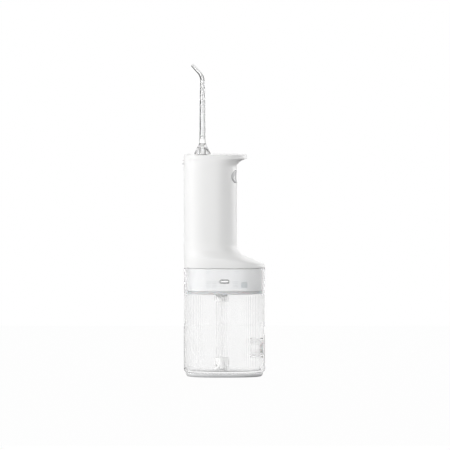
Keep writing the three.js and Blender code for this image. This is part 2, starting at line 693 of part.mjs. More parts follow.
// The release button pushes a forked latch round the nozzle's foot; a spring returns it.
function releaseLatch() {
  const { left, right, halfWidth, thickness } = LATCH;
  const fork = box([left, -halfWidth, -thickness / 2], [right, halfWidth, thickness / 2]);
  const eye = plate(pill(2 * 5.6, 2 * 4.8), 6).translate(NOZZLE_X - 0.8, 0, 0);
  return cut(fork, eye);
}

const release = new THREE.Group();
release.position.z = RELEASE.z;
const releaseBody = join(
  alongX(plate(pill(RELEASE.width, RELEASE.height), RELEASE.depth)).translate(FRONT - 0.2, 0, 0),
  box([FRONT + 1, -RELEASE.stem, -RELEASE.stem / 2], [RELEASE.stemEnd, RELEASE.stem, RELEASE.stem / 2]),
);
piece(release, 'release_button', releaseBody, WHITE());
piece(release, 'release_latch', releaseLatch(), ACETAL());
handle.add(release);
const coil = tube(1, 1.6, -2.2, 2.2, SMALL_STEPS);
const spring = piece(handle, 'release_spring', coil, STEEL(), LATCH.right + 3, 0, RELEASE.z);
spring.rotation.y = Math.PI / 2;

// ---- Nozzle: swivelling sleeve, plug with skirt, clear bent tube --------------------------------

function nozzleBase() {
  const { bottom, top, radius, sleeve, plug, bore } = SKIRT;
  const { bottom: end, grooveLow, grooveHigh, groove } = NOZZLE_PLUG;
  return revolve([
    [bore, end], [plug, end], [plug, grooveLow], [groove, grooveLow], [groove, grooveHigh], [plug, grooveHigh],
    [plug, bottom], [radius, bottom], [radius, bottom + 0.7], [4.2, top - 2.4], [sleeve, top],
    [sleeve, NOZZLE.sleeveTop], [bore, NOZZLE.sleeveTop], [bore, end],
  ]);
}

// Centres and directions of the bent tube's sections: straight up, round the bend, then straight
// on. Each also says what share of the tube's length lies below it.
function nozzlePath(start) {
  const { bendStart, bendRadius, bendAngle, reach } = NOZZLE;
  const bend = THREE.MathUtils.degToRad(bendAngle);
  const stations = [start, (start + bendStart) / 2].map((z) => ({ x: 0, z, turn: 0 }));
  const turns = 7;
  for (let i = 0; i <= turns; i += 1) {
    const turn = (bend * i) / turns;
    stations.push({
      x: -bendRadius * (1 - Math.cos(turn)),
      z: bendStart + bendRadius * Math.sin(turn),
      turn,
    });
  }
  const { x, z } = stations.at(-1);
  stations.push({ x: x - reach * Math.sin(bend), z: z + reach * Math.cos(bend), turn: bend });
  const top = stations.at(-1).z;
  return stations.map((station) => ({ ...station, share: (station.z - start) / (top - start) }));
}

// Skins round sections along the nozzle's path.
function sweep(stations, steps) {
  return loft(stations.map(({ x, z, turn, radius }) => Array.from({ length: steps }, (_, k) => {
    const angle = (2 * Math.PI * k) / steps;
    const across = radius * Math.cos(angle);
    return new THREE.Vector3(
      x + across * Math.cos(turn),
      radius * Math.sin(angle),
      z + across * Math.sin(turn),
    );
  })));
}

function nozzleTube() {
  const { stem, shoulder, tip, bore, tipBore } = NOZZLE_RADII;
  const path = nozzlePath(NOZZLE.sleeveTop + GAP);
  const upright = (z, radius) => ({ x: 0, z, turn: 0, radius });
  const tapered = (from, to) => path.map((station) => {
    return { ...station, radius: THREE.MathUtils.lerp(from, to, station.share ** NOZZLE_TAPER) };
  });
  const root = [upright(NOZZLE.foot, stem), upright(path[0].z, stem)];
  const outer = sweep([...root, ...tapered(shoulder, tip)], HOSE_STEPS);
  const last = path.at(-1);
  const beyond = {
    x: last.x - Math.sin(last.turn),
    z: last.z + Math.cos(last.turn),
    turn: last.turn,
    radius: tipBore,
  };
  const inner = sweep([upright(NOZZLE.foot - 1, bore), ...tapered(bore, tipBore), beyond], HOSE_STEPS / 2);
  return cut(outer, inner);
}

const nozzle = new THREE.Group();
nozzle.position.x = NOZZLE_X;
piece(nozzle, 'swivel_sleeve', tube(4.85, 5.9, NOZZLE_PLUG.bottom, SOCKET.top - 0.4), ACETAL());
const pullOut = new THREE.Group();
piece(pullOut, 'nozzle_tube', nozzleTube(), CLEAR());
piece(pullOut, 'nozzle_base', nozzleBase(), CLEAR());
const oRing = tube(4.1, 4.5, NOZZLE_PLUG.grooveLow + GAP, NOZZLE_PLUG.grooveHigh - GAP);
piece(pullOut, 'nozzle_o_ring', oRing, SILICONE());
nozzle.add(pullOut);

const flosser = new THREE.Group();
flosser.position.z = DATUM;
handle.add(nozzle);
flosser.add(tank, handle);

export default flosser;
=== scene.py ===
"""Water flosser: the fine surfaces, materials, light and camera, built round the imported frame."""
import json
import math

import bpy
from mathutils import Matrix, Vector


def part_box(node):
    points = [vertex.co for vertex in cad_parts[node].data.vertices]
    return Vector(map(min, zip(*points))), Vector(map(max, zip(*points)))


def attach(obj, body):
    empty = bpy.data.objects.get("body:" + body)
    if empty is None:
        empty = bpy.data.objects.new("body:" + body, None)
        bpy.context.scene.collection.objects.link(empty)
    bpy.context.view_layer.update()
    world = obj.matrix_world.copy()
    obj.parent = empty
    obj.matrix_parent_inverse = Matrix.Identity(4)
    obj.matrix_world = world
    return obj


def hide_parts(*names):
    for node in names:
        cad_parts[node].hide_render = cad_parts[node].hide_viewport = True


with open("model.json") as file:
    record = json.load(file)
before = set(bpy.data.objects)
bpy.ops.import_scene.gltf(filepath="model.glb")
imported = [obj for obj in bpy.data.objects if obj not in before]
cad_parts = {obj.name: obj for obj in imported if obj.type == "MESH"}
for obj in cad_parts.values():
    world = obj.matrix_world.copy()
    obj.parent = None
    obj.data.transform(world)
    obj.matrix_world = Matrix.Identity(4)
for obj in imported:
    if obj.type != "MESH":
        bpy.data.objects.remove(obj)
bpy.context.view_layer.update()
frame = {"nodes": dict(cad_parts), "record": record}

# ---- Sizes, in millimetres, read from the frame where it holds them ----

MM = 0.001  # metres in a millimetre


def span(node):
    """Lowest and highest corner of a CAD node in millimetres."""
    low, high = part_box(node)
    return low / MM, high / MM


def heights(node):
    low, high = span(node)
    return low.z, high.z


def middle(node):
    """Centre of a CAD node's box in millimetres."""
    return tuple((a + b) / 2 for a, b in zip(*span(node)))


TANK_LOW, TANK_HIGH = span("tank_vessel")
SHELL_LOW, SHELL_HIGH = span("handle_shell")
COVER_LOW, COVER_HIGH = span("top_cover")
PLUG_LOW, PLUG_HIGH = span("lower_plug")
CAP_LOW, CAP_HIGH = span("filler_cap")
PIN_LOW, PIN_HIGH = span("filler_hinge_pin")
STOPPER_LOW, STOPPER_HIGH = span("filler_stopper")
JET_LOW = span("rear_jet_button")[0]
USB_LOW, USB_HIGH = span("usb_port_shell")
BASE_LOW, BASE_HIGH = span("nozzle_base")
RELEASE_LOW, RELEASE_HIGH = span("release_button")

FRONT = SHELL_LOW.x
TANK_PLAN = {"front": TANK_LOW.x, "back": TANK_HIGH.x, "half_width": TANK_HIGH.y, "power": 2.8}
GRIP_PLAN = {"front": FRONT, "back": 12.0, "half_width": 23.2, "power": 2.6}
HOOK_PLAN = {"front": FRONT, "back": 21.6, "half_width": 23.2, "power": 2.6}
SHOULDER = 8.6  # how far the skirt's shoulder climbs from the back to the front
SHELL_WALL = 2.1
TANK_LEDGE = 78.9
MOUTH_WALL = 2.0
PLUG_INSET = MOUTH_WALL + 0.4
RIBBED_WALL = 2.6
RIB_COUNT = 112
RIB_DEPTH = 0.26
STEPS_PER_RIB = 8
WALL_POINTS = RIB_COUNT * STEPS_PER_RIB

# The back edge of the side view as (x, z) points; the first and last only steer the curve.
SKIRT_EDGE = [
    (40.6, 103.2), (39, 105.6), (36.6, 108.2), (26.8, 112.2), (18, 116.4), (12.4, 122.7), (12, 128.7),
    (12, 134),
]
HOOK_EDGE = [(12, 192), (12, 198.2), (12.4, 203.3), (16.3, 207.1), (21.6, 209.4), (27, 211.4)]

# ---- Mesh helpers ----


def new_object(name, points, faces, smooth_angle=40):
    """A mesh object from points in millimetres, smooth except across sharp edges."""
    mesh = bpy.data.meshes.new(name)
    mesh.from_pydata([Vector(p) * MM for p in points], [], faces)
    mesh.update()
    obj = bpy.data.objects.new(name, mesh)
    bpy.context.scene.collection.objects.link(obj)
    return shade(obj, smooth_angle)


def shade(obj, smooth_angle=40):
    obj.data.shade_smooth()
    obj.data.set_sharp_from_angle(angle=math.radians(smooth_angle))
    return obj


def ring_faces(rings, closed=False, start=0):
    """Faces between rings of equal point counts, with flat caps at both ends unless the rings are closed."""
    count = len(rings[0])
    faces = []
    for i in range(len(rings) if closed else len(rings) - 1):
        low = start + i * count
        high = start + (i + 1) % len(rings) * count
        for k in range(count):
            after = (k + 1) % count
            faces.append((low + k, low + after, high + after, high + k))
    if not closed:
        last = start + (len(rings) - 1) * count
        faces += [tuple(reversed(range(start, start + count))), tuple(range(last, last + count))]
    return faces


def skin(name, rings, closed=False, smooth_angle=40):
    """A body skinned over rings."""
    points = [p for ring in rings for p in ring]
    return outward(new_object(name, points, ring_faces(rings, closed), smooth_angle))


def outward(obj):
    """Turns an inside-out mesh right side out."""
    volume = 0
    for face in obj.data.polygons:
        corners = [obj.data.vertices[v].co for v in face.vertices]
        for b, c in zip(corners[1:], corners[2:]):
            volume += corners[0].dot(b.cross(c))
    if volume < 0:
        obj.data.flip_normals()
    return obj


def mix(a, b, share):
    return a + (b - a) * share


def bend(value, power):
    return math.copysign(abs(value) ** (2 / power), value)


def plan_points(front, back, half_width, power, inset=0.0, count=360):
    """A closed plan outline, starting at the back edge, squarer than an ellipse as the power rises."""
    middle = (front + back) / 2
    reach = (back - front) / 2 - inset
    wide = half_width - inset
    angles = [2 * math.pi * i / count for i in range(count)]
    return [(middle + reach * bend(math.cos(a), power), wide * bend(math.sin(a), power)) for a in angles]


def plan(count=240, **outline):
    """The same outline with evenly spaced points."""
    return even(plan_points(**outline, count=1440), count)


def even(outline, count):
    """The same closed outline with count evenly spaced points."""
    loop = outline + outline[:1]
    lengths = [0.0]
    for (ax, ay), (bx, by) in zip(loop, loop[1:]):
        lengths.append(lengths[-1] + math.hypot(bx - ax, by - ay))
    result = []
    k = 0
    for i in range(count):
        target = lengths[-1] * i / count
        while lengths[k + 1] < target:
            k += 1
        share = (target - lengths[k]) / (lengths[k + 1] - lengths[k])
        (ax, ay), (bx, by) = loop[k], loop[k + 1]
        result.append((ax + (bx - ax) * share, ay + (by - ay) * share))
    return result


def level(outline, z):
    return [(x, y, z) for x, y in outline]


def quarter_round(radius, step=15):
    """Steps of a rounded edge: how far in from its side and how far down from its top each one lies."""
    angles = [math.radians(turn) for turn in range(0, 91, step)]
    return [(radius * (1 - math.cos(a)), radius * (1 - math.sin(a))) for a in angles]


def spline(points, share):
    """Point and unit tangent of a Catmull-Rom curve; its first and last points only steer it."""
    spans = len(points) - 3
    place = min(share * spans, spans - 1e-9)
    k = int(place)
    t = place - k
    a, b, c, d = (Vector((x, 0, z)) for x, z in points[k : k + 4])
    square = 2 * a - 5 * b + 4 * c - d
    cube = 3 * b - a - 3 * c + d
    point = 0.5 * (2 * b + (c - a) * t + square * t**2 + cube * t**3)
    slope = 0.5 * ((c - a) + 2 * square * t + 3 * cube * t**2)
    return point, slope.normalized()


def lathe(name, profile, at=(0, 0, 0), axis="Z", steps=96, smooth_angle=35):
    """Turns a profile of (radius, height) points, closed or ending on the axis, round an axis."""
    points, faces = [], []
    rings = []
    for radius, height in profile:
        if radius < 1e-6:
            rings.append([len(points)])
            points.append((0, 0, height))
            continue
        rings.append(list(range(len(points), len(points) + steps)))
        for k in range(steps):
            angle = 2 * math.pi * k / steps
            points.append((radius * math.cos(angle), radius * math.sin(angle), height))
    shut = profile[0][0] > 1e-6 and profile[-1][0] > 1e-6
    pairs = list(zip(rings, rings[1:])) + ([(rings[-1], rings[0])] if shut else [])
    for low, high in pairs:
        for k in range(steps):
            after = (k + 1) % steps
            corners = [low[k % len(low)], low[after % len(low)], high[after % len(high)], high[k % len(high)]]
            face = tuple(dict.fromkeys(corners))
            if len(face) > 2:
                faces.append(face)
    turned = {"X": lambda p: (p[2], p[0], p[1]), "Y": lambda p: (p[1], p[2], p[0]), "Z": lambda p: p}[axis]
    placed = [tuple(Vector(turned(p)) + Vector(at)) for p in points]
    return outward(new_object(name, placed, faces, smooth_angle))


def rounded(profile, radius, steps=4):
    """A closed profile with each corner rounded; a corner may carry its own radius as a third value."""
    result = []
    count = len(profile)
    for i, corner in enumerate(profile):
        here = Vector(corner[:2])
        size = corner[2] if len(corner) > 2 else radius
        before = Vector(profile[i - 1][:2]) - here
        after = Vector(profile[(i + 1) % count][:2]) - here
        if size <= 0:
            result.append(tuple(here))
            continue
        half = before.angle(after) / 2
        reach = min(size / math.tan(half), before.length * 0.49, after.length * 0.49)
        start = here + before.normalized() * reach
        end = here + after.normalized() * reach
        for k in range(steps + 1):
            t = k / steps
            point = start * (1 - t) ** 2 + here * 2 * t * (1 - t) + end * t**2
            result.append(tuple(point))
    return result


def pill(width, height, count=96):
    """A slot outline with half-round ends and evenly spaced points."""
    radius = min(width, height) / 2
    across = width / 2 - radius
    up = height / 2 - radius
    outline = []
    for i in range(count * 4):
        angle = 2 * math.pi * (i + 0.5) / (count * 4)
        x = math.copysign(across, math.cos(angle)) + radius * math.cos(angle)
        y = math.copysign(up, math.sin(angle)) + radius * math.sin(angle)
        outline.append((x, y))
    return even(outline, count)


def pill_of(node, gap=0.0, count=96):
    """A pill as wide and high as a CAD node seen along X, with a gap round it."""
    low, high = span(node)
    return pill(high.y - low.y + 2 * gap, high.z - low.z + 2 * gap, count)


def round_box(width, height, radius, count=96):
    """A rounded rectangle outline with evenly spaced points."""
    across = width / 2 - radius
    up = height / 2 - radius
    outline = []
    for quarter, (sx, sy) in enumerate([(1, 1), (-1, 1), (-1, -1), (1, -1)]):
        for k in range(25):
            angle = math.pi / 2 * (quarter + k / 24)
            outline.append((sx * across + radius * math.cos(angle), sy * up + radius * math.sin(angle)))
    return even(outline, count)


def baked(obj):
    """Applies the object's modifiers to its mesh."""
    graph = bpy.context.evaluated_depsgraph_get()
    mesh = bpy.data.meshes.new_from_object(obj.evaluated_get(graph))
    old = obj.data
    obj.modifiers.clear()
    obj.data = mesh
    bpy.data.meshes.remove(old)
    return obj


def boolean(obj, operation, *tools, smooth_angle=40):
    """Cuts, joins or intersects obj with closed tools, which are used up."""
    for tool in tools:
        modifier = obj.modifiers.new("boolean", "BOOLEAN")
        modifier.operation = operation
        modifier.solver = "EXACT"
        modifier.object = tool
    baked(obj)
    for tool in tools:
        bpy.data.objects.remove(tool)
    return shade(obj, smooth_angle)


def bevel(obj, width, segments, angle):
    """A bevel of a width in millimetres on the edges sharper than an angle."""
    modifier = obj.modifiers.new("bevel", "BEVEL")
    modifier.width = width * MM
    modifier.segments = segments
    modifier.limit_method = "ANGLE"
    modifier.angle_limit = math.radians(angle)


def prism_x(name, outline, low, high, z):
    """An outline in Y and Z, thick along X, centred at a height."""
    return skin(name, [[(x, y, z + up) for y, up in outline] for x in (low, high)])


def block(name, low, high, edge=0.0, segments=2):
    """A box between two corners with softened edges."""
    xs, ys, zs = zip(low, high)
    corners = (xs[0], ys[0]), (xs[1], ys[0]), (xs[1], ys[1]), (xs[0], ys[1])
    points = [(x, y, z) for z in zs for x, y in corners]
    faces = [(3, 2, 1, 0), (4, 5, 6, 7), (0, 1, 5, 4), (1, 2, 6, 5), (2, 3, 7, 6), (3, 0, 4, 7)]
    obj = new_object(name, points, faces)
    if edge:
        bevel(obj, edge, segments, 40)
        shade(baked(obj))
    return obj


# ---- Materials ----


class Material:
    """A Principled material with small helpers for its procedural detail."""

    def __init__(self, name, color, roughness, **sockets):
        self.material = bpy.data.materials.new(name)
        self.material.use_nodes = True
        self.tree = self.material.node_tree
        self.shader = self.tree.nodes["Principled BSDF"]
        self.shader.inputs["Base Color"].default_value = (*color, 1)
        self.shader.inputs["Roughness"].default_value = roughness
        for socket, value in sockets.items():
            self.shader.inputs[socket.replace("_", " ")].default_value = value
        self.color = color
        self.roughness = roughness
        self.coordinates = self.node("ShaderNodeTexCoord").outputs["Object"]

    def node(self, kind, **settings):
        made = self.tree.nodes.new(kind)
        for key, value in settings.items():
            setattr(made, key, value)
        return made

    def link(self, output, socket):
        self.tree.links.new(output, socket)

    def noise(self, per_metre, detail=2.0, stretch=(1, 1, 1)):
        """Noise with so many features per metre, stretched along axes."""
        mapping = self.node("ShaderNodeMapping")
        mapping.inputs["Scale"].default_value = [per_metre * s for s in stretch]
        self.link(self.coordinates, mapping.inputs["Vector"])
        texture = self.node("ShaderNodeTexNoise")
        texture.inputs["Scale"].default_value = 1.0
        texture.inputs["Detail"].default_value = detail
        self.link(mapping.outputs["Vector"], texture.inputs["Vector"])
        return texture.outputs["Fac"]

    def ranged(self, value, low, high):
        """Maps a noise value to a range."""
        spread = self.node("ShaderNodeMapRange")
        spread.inputs["From Min"].default_value = 0.3
        spread.inputs["From Max"].default_value = 0.7
        spread.inputs["To Min"].default_value = low
        spread.inputs["To Max"].default_value = high
        self.link(value, spread.inputs["Value"])
        return spread.outputs["Result"]

    def mottle(self, value, share):
        """Varies the base colour by a share up and down with a noise value."""
        mix = self.node("ShaderNodeMix", data_type="RGBA")
        mix.inputs["A"].default_value = (*[c * (1 - share) for c in self.color], 1)
        mix.inputs["B"].default_value = (*[min(1, c * (1 + share)) for c in self.color], 1)
        self.link(value, mix.inputs["Factor"])
        self.link(mix.outputs["Result"], self.shader.inputs["Base Color"])
        return self

    def vary_roughness(self, value, spread):
        low = max(0.02, self.roughness - spread)
        self.link(self.ranged(value, low, self.roughness + spread), self.shader.inputs["Roughness"])
        return self

    def bump(self, value, height, strength=1.0):
        """Bumps the surface by a height in millimetres."""
        bumps = self.node("ShaderNodeBump")
        bumps.inputs["Distance"].default_value = height * MM
        bumps.inputs["Strength"].default_value = strength
        self.link(value, bumps.inputs["Height"])
        self.link(bumps.outputs["Normal"], self.shader.inputs["Normal"])
        return self

    def let_lamps_through(self, share):
        """Lets a share of the lamps' light pass, so that what is inside the clear wall is lit."""
        path = self.node("ShaderNodeLightPath")
        clear = self.node("ShaderNodeBsdfTransparent")
        clear.inputs["Color"].default_value = (share, share, share, 1)
        mix = self.node("ShaderNodeMixShader")
        self.link(path.outputs["Is Shadow Ray"], mix.inputs["Fac"])
        self.link(self.shader.outputs["BSDF"], mix.inputs[1])
        self.link(clear.outputs["BSDF"], mix.inputs[2])
        self.link(mix.outputs["Shader"], self.tree.nodes["Material Output"].inputs["Surface"])
        return self


def moulded(name, color, roughness, grain=2600, depth=0.012, mottle=0.012, **sockets):
    """Moulded plastic: a fine spark-eroded grain, faint flow marks and slightly uneven gloss."""
    made = Material(name, color, roughness, **sockets)
    made.mottle(made.noise(24, detail=3), mottle)
    made.vary_roughness(made.noise(160, detail=3), 0.04)
    made.bump(made.noise(grain, detail=1), depth, 0.5)
    return made.material


def clear_plastic(name, color, edge_shade_color, ior, haze=0.0, waviness=0.001, **sockets):
    """Clear moulding: its colour is darkened where it is seen edge-on, a painted shade along the edges, and
    it is faintly wavy.
    """
    made = Material(name, color, 0.0, Transmission_Weight=1 - haze, IOR=ior, **sockets)
    facing = made.node("ShaderNodeLayerWeight")
    facing.inputs["Blend"].default_value = 0.5
    ramp = made.node("ShaderNodeMapRange")
    ramp.interpolation_type = "SMOOTHSTEP"
    ramp.inputs["From Min"].default_value = 0.04
    ramp.inputs["From Max"].default_value = 0.3
    made.link(facing.outputs["Facing"], ramp.inputs["Value"])
    # Painted shade: the base colour turns darker towards the edges that are seen edge-on.
    painted_edge_shade = made.node("ShaderNodeMix", data_type="RGBA")
    painted_edge_shade.inputs["A"].default_value = (*color, 1)
    painted_edge_shade.inputs["B"].default_value = (*edge_shade_color, 1)
    made.link(ramp.outputs["Result"], painted_edge_shade.inputs["Factor"])
    made.link(painted_edge_shade.outputs["Result"], made.shader.inputs["Base Color"])
    made.bump(made.noise(90, detail=2, stretch=(1, 1, 0.25)), waviness, 0.3)
    return made.let_lamps_through(0.89).material


def rubber(name, color, roughness=0.6, **sockets):
    """Silicone or rubber: dull, with a dusty grain."""
    made = Material(name, color, roughness, **sockets)
    made.mottle(made.noise(60, detail=4), 0.03)
    made.vary_roughness(made.noise(300, detail=2), 0.06)
    made.bump(made.noise(1800, detail=2), 0.02, 0.5)
    return made.material


def metal(name, color, roughness, stretch=(1, 1, 1)):
    """Metal with fine drawn or machined lines."""
    made = Material(name, color, roughness, Metallic=1.0)
    lines = made.noise(900, detail=3, stretch=stretch)
    made.mottle(lines, 0.06)
    made.vary_roughness(lines, 0.1)
    made.bump(lines, 0.01, 0.4)
    return made.material


def circuit_board(name, color):
    """Solder mask over copper tracks."""
    made = Material(name, color, 0.32)
    bricks = made.node("ShaderNodeTexBrick")
    bricks.inputs["Scale"].default_value = 220.0
    bricks.inputs["Color1"].default_value = (*color, 1)
    bricks.inputs["Color2"].default_value = (*[c * 0.8 for c in color], 1)
    bricks.inputs["Mortar"].default_value = (*[c * 1.7 for c in color], 1)
    bricks.inputs["Mortar Size"].default_value = 0.03
    made.link(made.coordinates, bricks.inputs["Vector"])
    made.link(bricks.outputs["Color"], made.shader.inputs["Base Color"])
    made.bump(bricks.outputs["Fac"], 0.03, 0.5)
    return made.material


TANK_COAT = {"Coat_Weight": 0.08, "Coat_Roughness": 0.3}
JET_COAT = {"Coat_Weight": 0.3, "Coat_Roughness": 0.12}
SOFT_GLOW = {"Subsurface_Weight": 0.15, "Subsurface_Scale": 0.002}


def make_materials():
    """One material for each of the record's slots; shades not given here are the record's."""
    shade_of = {m["slot"]: tuple(m["base_color"][:3]) for m in frame["record"]["materials"]}
    return {
        "body_white": moulded("body_white", (0.86, 0.86, 0.855), 0.42),
        "button_white": moulded("button_white", (0.88, 0.88, 0.875), 0.34, grain=1800, depth=0.006),
        "cover_white": moulded("cover_white", (0.87, 0.87, 0.865), 0.28, depth=0.005),
        "tank_clear": clear_plastic("tank_clear", (0.975,) * 3, (0.93,) * 3, 1.15, 0.04, 0.0015, **TANK_COAT),
        "nozzle_clear": clear_plastic("nozzle_clear", (0.99,) * 3, (0.95,) * 3, 1.49),
        "jet_grey": moulded("jet_grey", shade_of["jet_grey"], 0.3, depth=0.004, **JET_COAT),
        # Painted light: the pad is lighter than its own grey, to lift the shade it lies in under the tank.
        "pad_grey": rubber("pad_grey", (0.8, 0.805, 0.81), 0.55),
        "silicone": rubber("silicone", (0.58, 0.585, 0.59), 0.4, **SOFT_GLOW),
        # This shade is set for the plug housing, which is white plastic like the body: its darker colour is
        # painted shade of the plug seen behind the tank.
        "frame_grey": moulded("frame_grey", (0.765, 0.77, 0.775), 0.5, grain=1500, depth=0.02, mottle=0.03),
        "acetal": moulded("acetal", shade_of["acetal"], 0.35, grain=1200, depth=0.01, mottle=0.03),
        "steel": metal("steel", shade_of["steel"], 0.26, stretch=(1, 1, 0.08)),
        "brass": metal("brass", shade_of["brass"], 0.3, stretch=(1, 0.1, 1)),
        "board": circuit_board("board", shade_of["board"]),
        "dark_plastic": moulded("dark_plastic", shade_of["dark_plastic"], 0.4, mottle=0.1),
        "cell_wrap": moulded("cell_wrap", shade_of["cell_wrap"], 0.25, grain=400, depth=0.03, mottle=0.05),
        "light_white": moulded("light_white", shade_of["light_white"], 0.3, depth=0.003),
    }


MATERIALS = make_materials()


def bare_tree(owner):
    """The emptied node tree of a material or a world."""
    owner.use_nodes = True
    owner.node_tree.nodes.clear()
    return owner.node_tree


def dress(obj, slot):
    obj.data.materials.clear()
    obj.data.materials.append(MATERIALS[slot])
    return obj


def finish_piece(obj, body, slot, *nodes):
    """A finished piece: its material, the body that it rides on and the CAD nodes it stands for."""
    dress(obj, slot)
    normals = obj.modifiers.new("normals", "WEIGHTED_NORMAL")
    normals.keep_sharp = True
    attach(obj, body)
    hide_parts(*nodes)
    return obj


# ---- Handle ----


def shoulder(x):
    """Height of the skirt's shoulder above its back edge, for a point of the tank's outline at x."""
    return SHOULDER * ((TANK_PLAN["back"] - x) / (TANK_PLAN["back"] - TANK_PLAN["front"])) ** 0.7


def edge_rings(edge, wide_plan, steps, wall=0.0, rise=lambda x: 0.0):
    """Rings along an edge curve that blend a wide outline into the grip's, one wall inside the surface."""
    grip, grip_inner = plan_points(**GRIP_PLAN), plan_points(**GRIP_PLAN, inset=1)
    wide, wide_inner = plan_points(**wide_plan), plan_points(**wide_plan, inset=1)
    reach = wide_plan["back"] - GRIP_PLAN["back"]
    rings = []
    for i in range(steps + 1):
        point, slope = spline(edge, i / steps)
        blend = (point.x - GRIP_PLAN["back"]) / reach
        ring = []
        for a, a_inner, b, b_inner in zip(grip, grip_inner, wide, wide_inner):
            run = slope.x * math.dist(a, b) / reach
            length = math.hypot(run, slope.z)
            inset = wall * slope.z / length
            x, y = (
                mix(mix(a[n], a_inner[n], inset), mix(b[n], b_inner[n], inset), blend) for n in (0, 1)
            )
            ring.append((x, y, point.z + rise(b[0]) + wall * run / length))
        rings.append(ring)
    return rings


def grip_outer():
    """Rings of the shell's outer surface from the tank's rim to the top."""
    low, high = SHELL_LOW.z, SHELL_HIGH.z
    rim = ((0.5, 0), (0.15, 0.12), (0, 0.45))
    rings = [level(plan_points(**TANK_PLAN, inset=inset), low + up) for inset, up in rim]
    rings += edge_rings(SKIRT_EDGE, TANK_PLAN, 44, rise=shoulder)
    start, end = SKIRT_EDGE[-2][1] + SHOULDER, HOOK_EDGE[1][1]
    rings += [level(plan_points(**GRIP_PLAN), mix(start, end, i / 20)) for i in range(1, 20)]
    rings += edge_rings(HOOK_EDGE, HOOK_PLAN, 30)
    for inset, drop in quarter_round(TOP_ROUND):
        rings.append(level(plan_points(**HOOK_PLAN, inset=inset), high - drop))
    return rings


def grip_inner():
    """Rings of the shell's inner surface from the top down to the tank's rim."""
    ledge = COVER_LOW.z - 0.3
    wall = SHELL_WALL
    levels = ((wall - 0.25, SHELL_HIGH.z), (wall, SHELL_HIGH.z - 0.25), (wall, ledge))
    rings = [level(plan_points(**HOOK_PLAN, inset=inset), z) for inset, z in levels]
    rings += reversed(edge_rings(HOOK_EDGE, HOOK_PLAN, 12, wall)[:11])
    rings += reversed(edge_rings(SKIRT_EDGE, TANK_PLAN, 20, wall, shoulder)[5:])
    rings += [level(plan_points(**TANK_PLAN, inset=wall), SHELL_LOW.z + up) for up in (0.6, 0)]
    return rings


TOP_ROUND = 0.9  # radius of the shell's top outer edge
BUTTON_GAP = 0.3


def grip_shell():
    shell = skin("grip_shell", grip_outer() + grip_inner(), closed=True)
    outer, inner = FRONT - 4, FRONT + 2 * SHELL_WALL
    cutters = [
        button_seat("power_button"),
        button_seat("mode_button"),
        prism_x("cut_release", pill_of("release_button", BUTTON_GAP), outer, inner, RELEASE_Z),
        prism_x("cut_light", pill(*LIGHT_HOLE), outer, inner, middle("light_guide")[2]),
        prism_x("cut_jet", pill_of("rear_jet_button", JET_GAP), 2, GRIP_PLAN["back"] + 4, JET_Z),
    ]
    return boolean(shell, "DIFFERENCE", *cutters)


def button_seat(node):
    """The cutter for a round button's hole, with the wide chamfer round its mouth."""
    radius = BUTTON_RADIUS + BUTTON_GAP
    mouth = radius + SEAT_CHAMFER
    profile = [(0, -2), (mouth + 2, -2), (mouth, 0), (radius, SEAT_CHAMFER), (radius, 4), (0, 4)]
    return lathe("cut_" + node, profile, at=(FRONT, 0, middle(node)[2]), axis="X")


BUTTON_RADIUS = 4.0
SEAT_CHAMFER = 0.9
LIGHT_HOLE = (2.4, 10.4)
RELEASE_Z = middle("release_button")[2]
JET_Z = middle("rear_jet_button")[2]
JET_GAP = 0.45


def top_plate():
    """The cover set into the shell's rim, with a rounded edge and the nozzle's hole."""
    gap = SHELL_WALL + 0.3
    rings = [level(plan(**HOOK_PLAN, inset=gap), COVER_LOW.z)]
    for inset, drop in quarter_round(0.35):
        rings.append(level(plan(**HOOK_PLAN, inset=gap + inset), COVER_HIGH.z - drop))
    cover = skin("top_plate", rings)
    hole = lathe("cut_nozzle", [(0, -4), (6.3, -4), (6.3, 4), (0, 4)], at=(NOZZLE_X, 0, COVER_HIGH.z))
    return boolean(cover, "DIFFERENCE", hole)


NOZZLE_X = middle("nozzle_base")[0]


def round_button(name, node):
    """A round button with a dished face, a rounded rim and a flange; its axis runs along X."""
    low, high = span(node)
    depth = high.x - low.x
    face = 0.35  # how far the face is dished
    profile = [(0, face)]
    for i in range(1, 9):
        radius = BUTTON_RADIUS * 0.9 * i / 8
        profile.append((radius, face * math.cos(math.pi / 2 * i / 8) ** 0.8))
    profile += [(3.85, 0.02), (3.95, 0.1), (BUTTON_RADIUS, 0.28), (BUTTON_RADIUS, depth - 0.7)]
    profile += [(4.75, depth - 0.65), (4.8, depth - 0.1), (4.7, depth), (0, depth)]
    return lathe(name, profile, at=(low.x, 0, middle(node)[2]), axis="X")


def release_key():
    """The release button: a pill with a rounded face that stands out of the front, on its stem."""
    front, depth = RELEASE_LOW.x, 3.4
    outline = pill_of("release_button")
    rings = []
    face = ((0.55, 0), (0.8, 0.06), (0.92, 0.22), (0.98, 0.5), (1, 0.8))
    for share, x in face + ((1, depth - 0.1), (0.97, depth)):
        rings.append([(front + x, y * share, RELEASE_Z + z * share) for y, z in outline])
    key = skin("release_key", rings)
    stem = block("stem", (front + 2.8, -2.4, RELEASE_Z - 1.2), (RELEASE_HIGH.x, 2.4, RELEASE_Z + 1.2), 0.2)
    return boolean(key, "UNION", stem)


def back_x(outline, y):
    """X of an outline's back surface at a given Y."""
    middle = (outline["front"] + outline["back"]) / 2
    reach = (outline["back"] - outline["front"]) / 2
    share = abs(y / outline["half_width"]) ** outline["power"]
    return middle + reach * (1 - share) ** (1 / outline["power"])


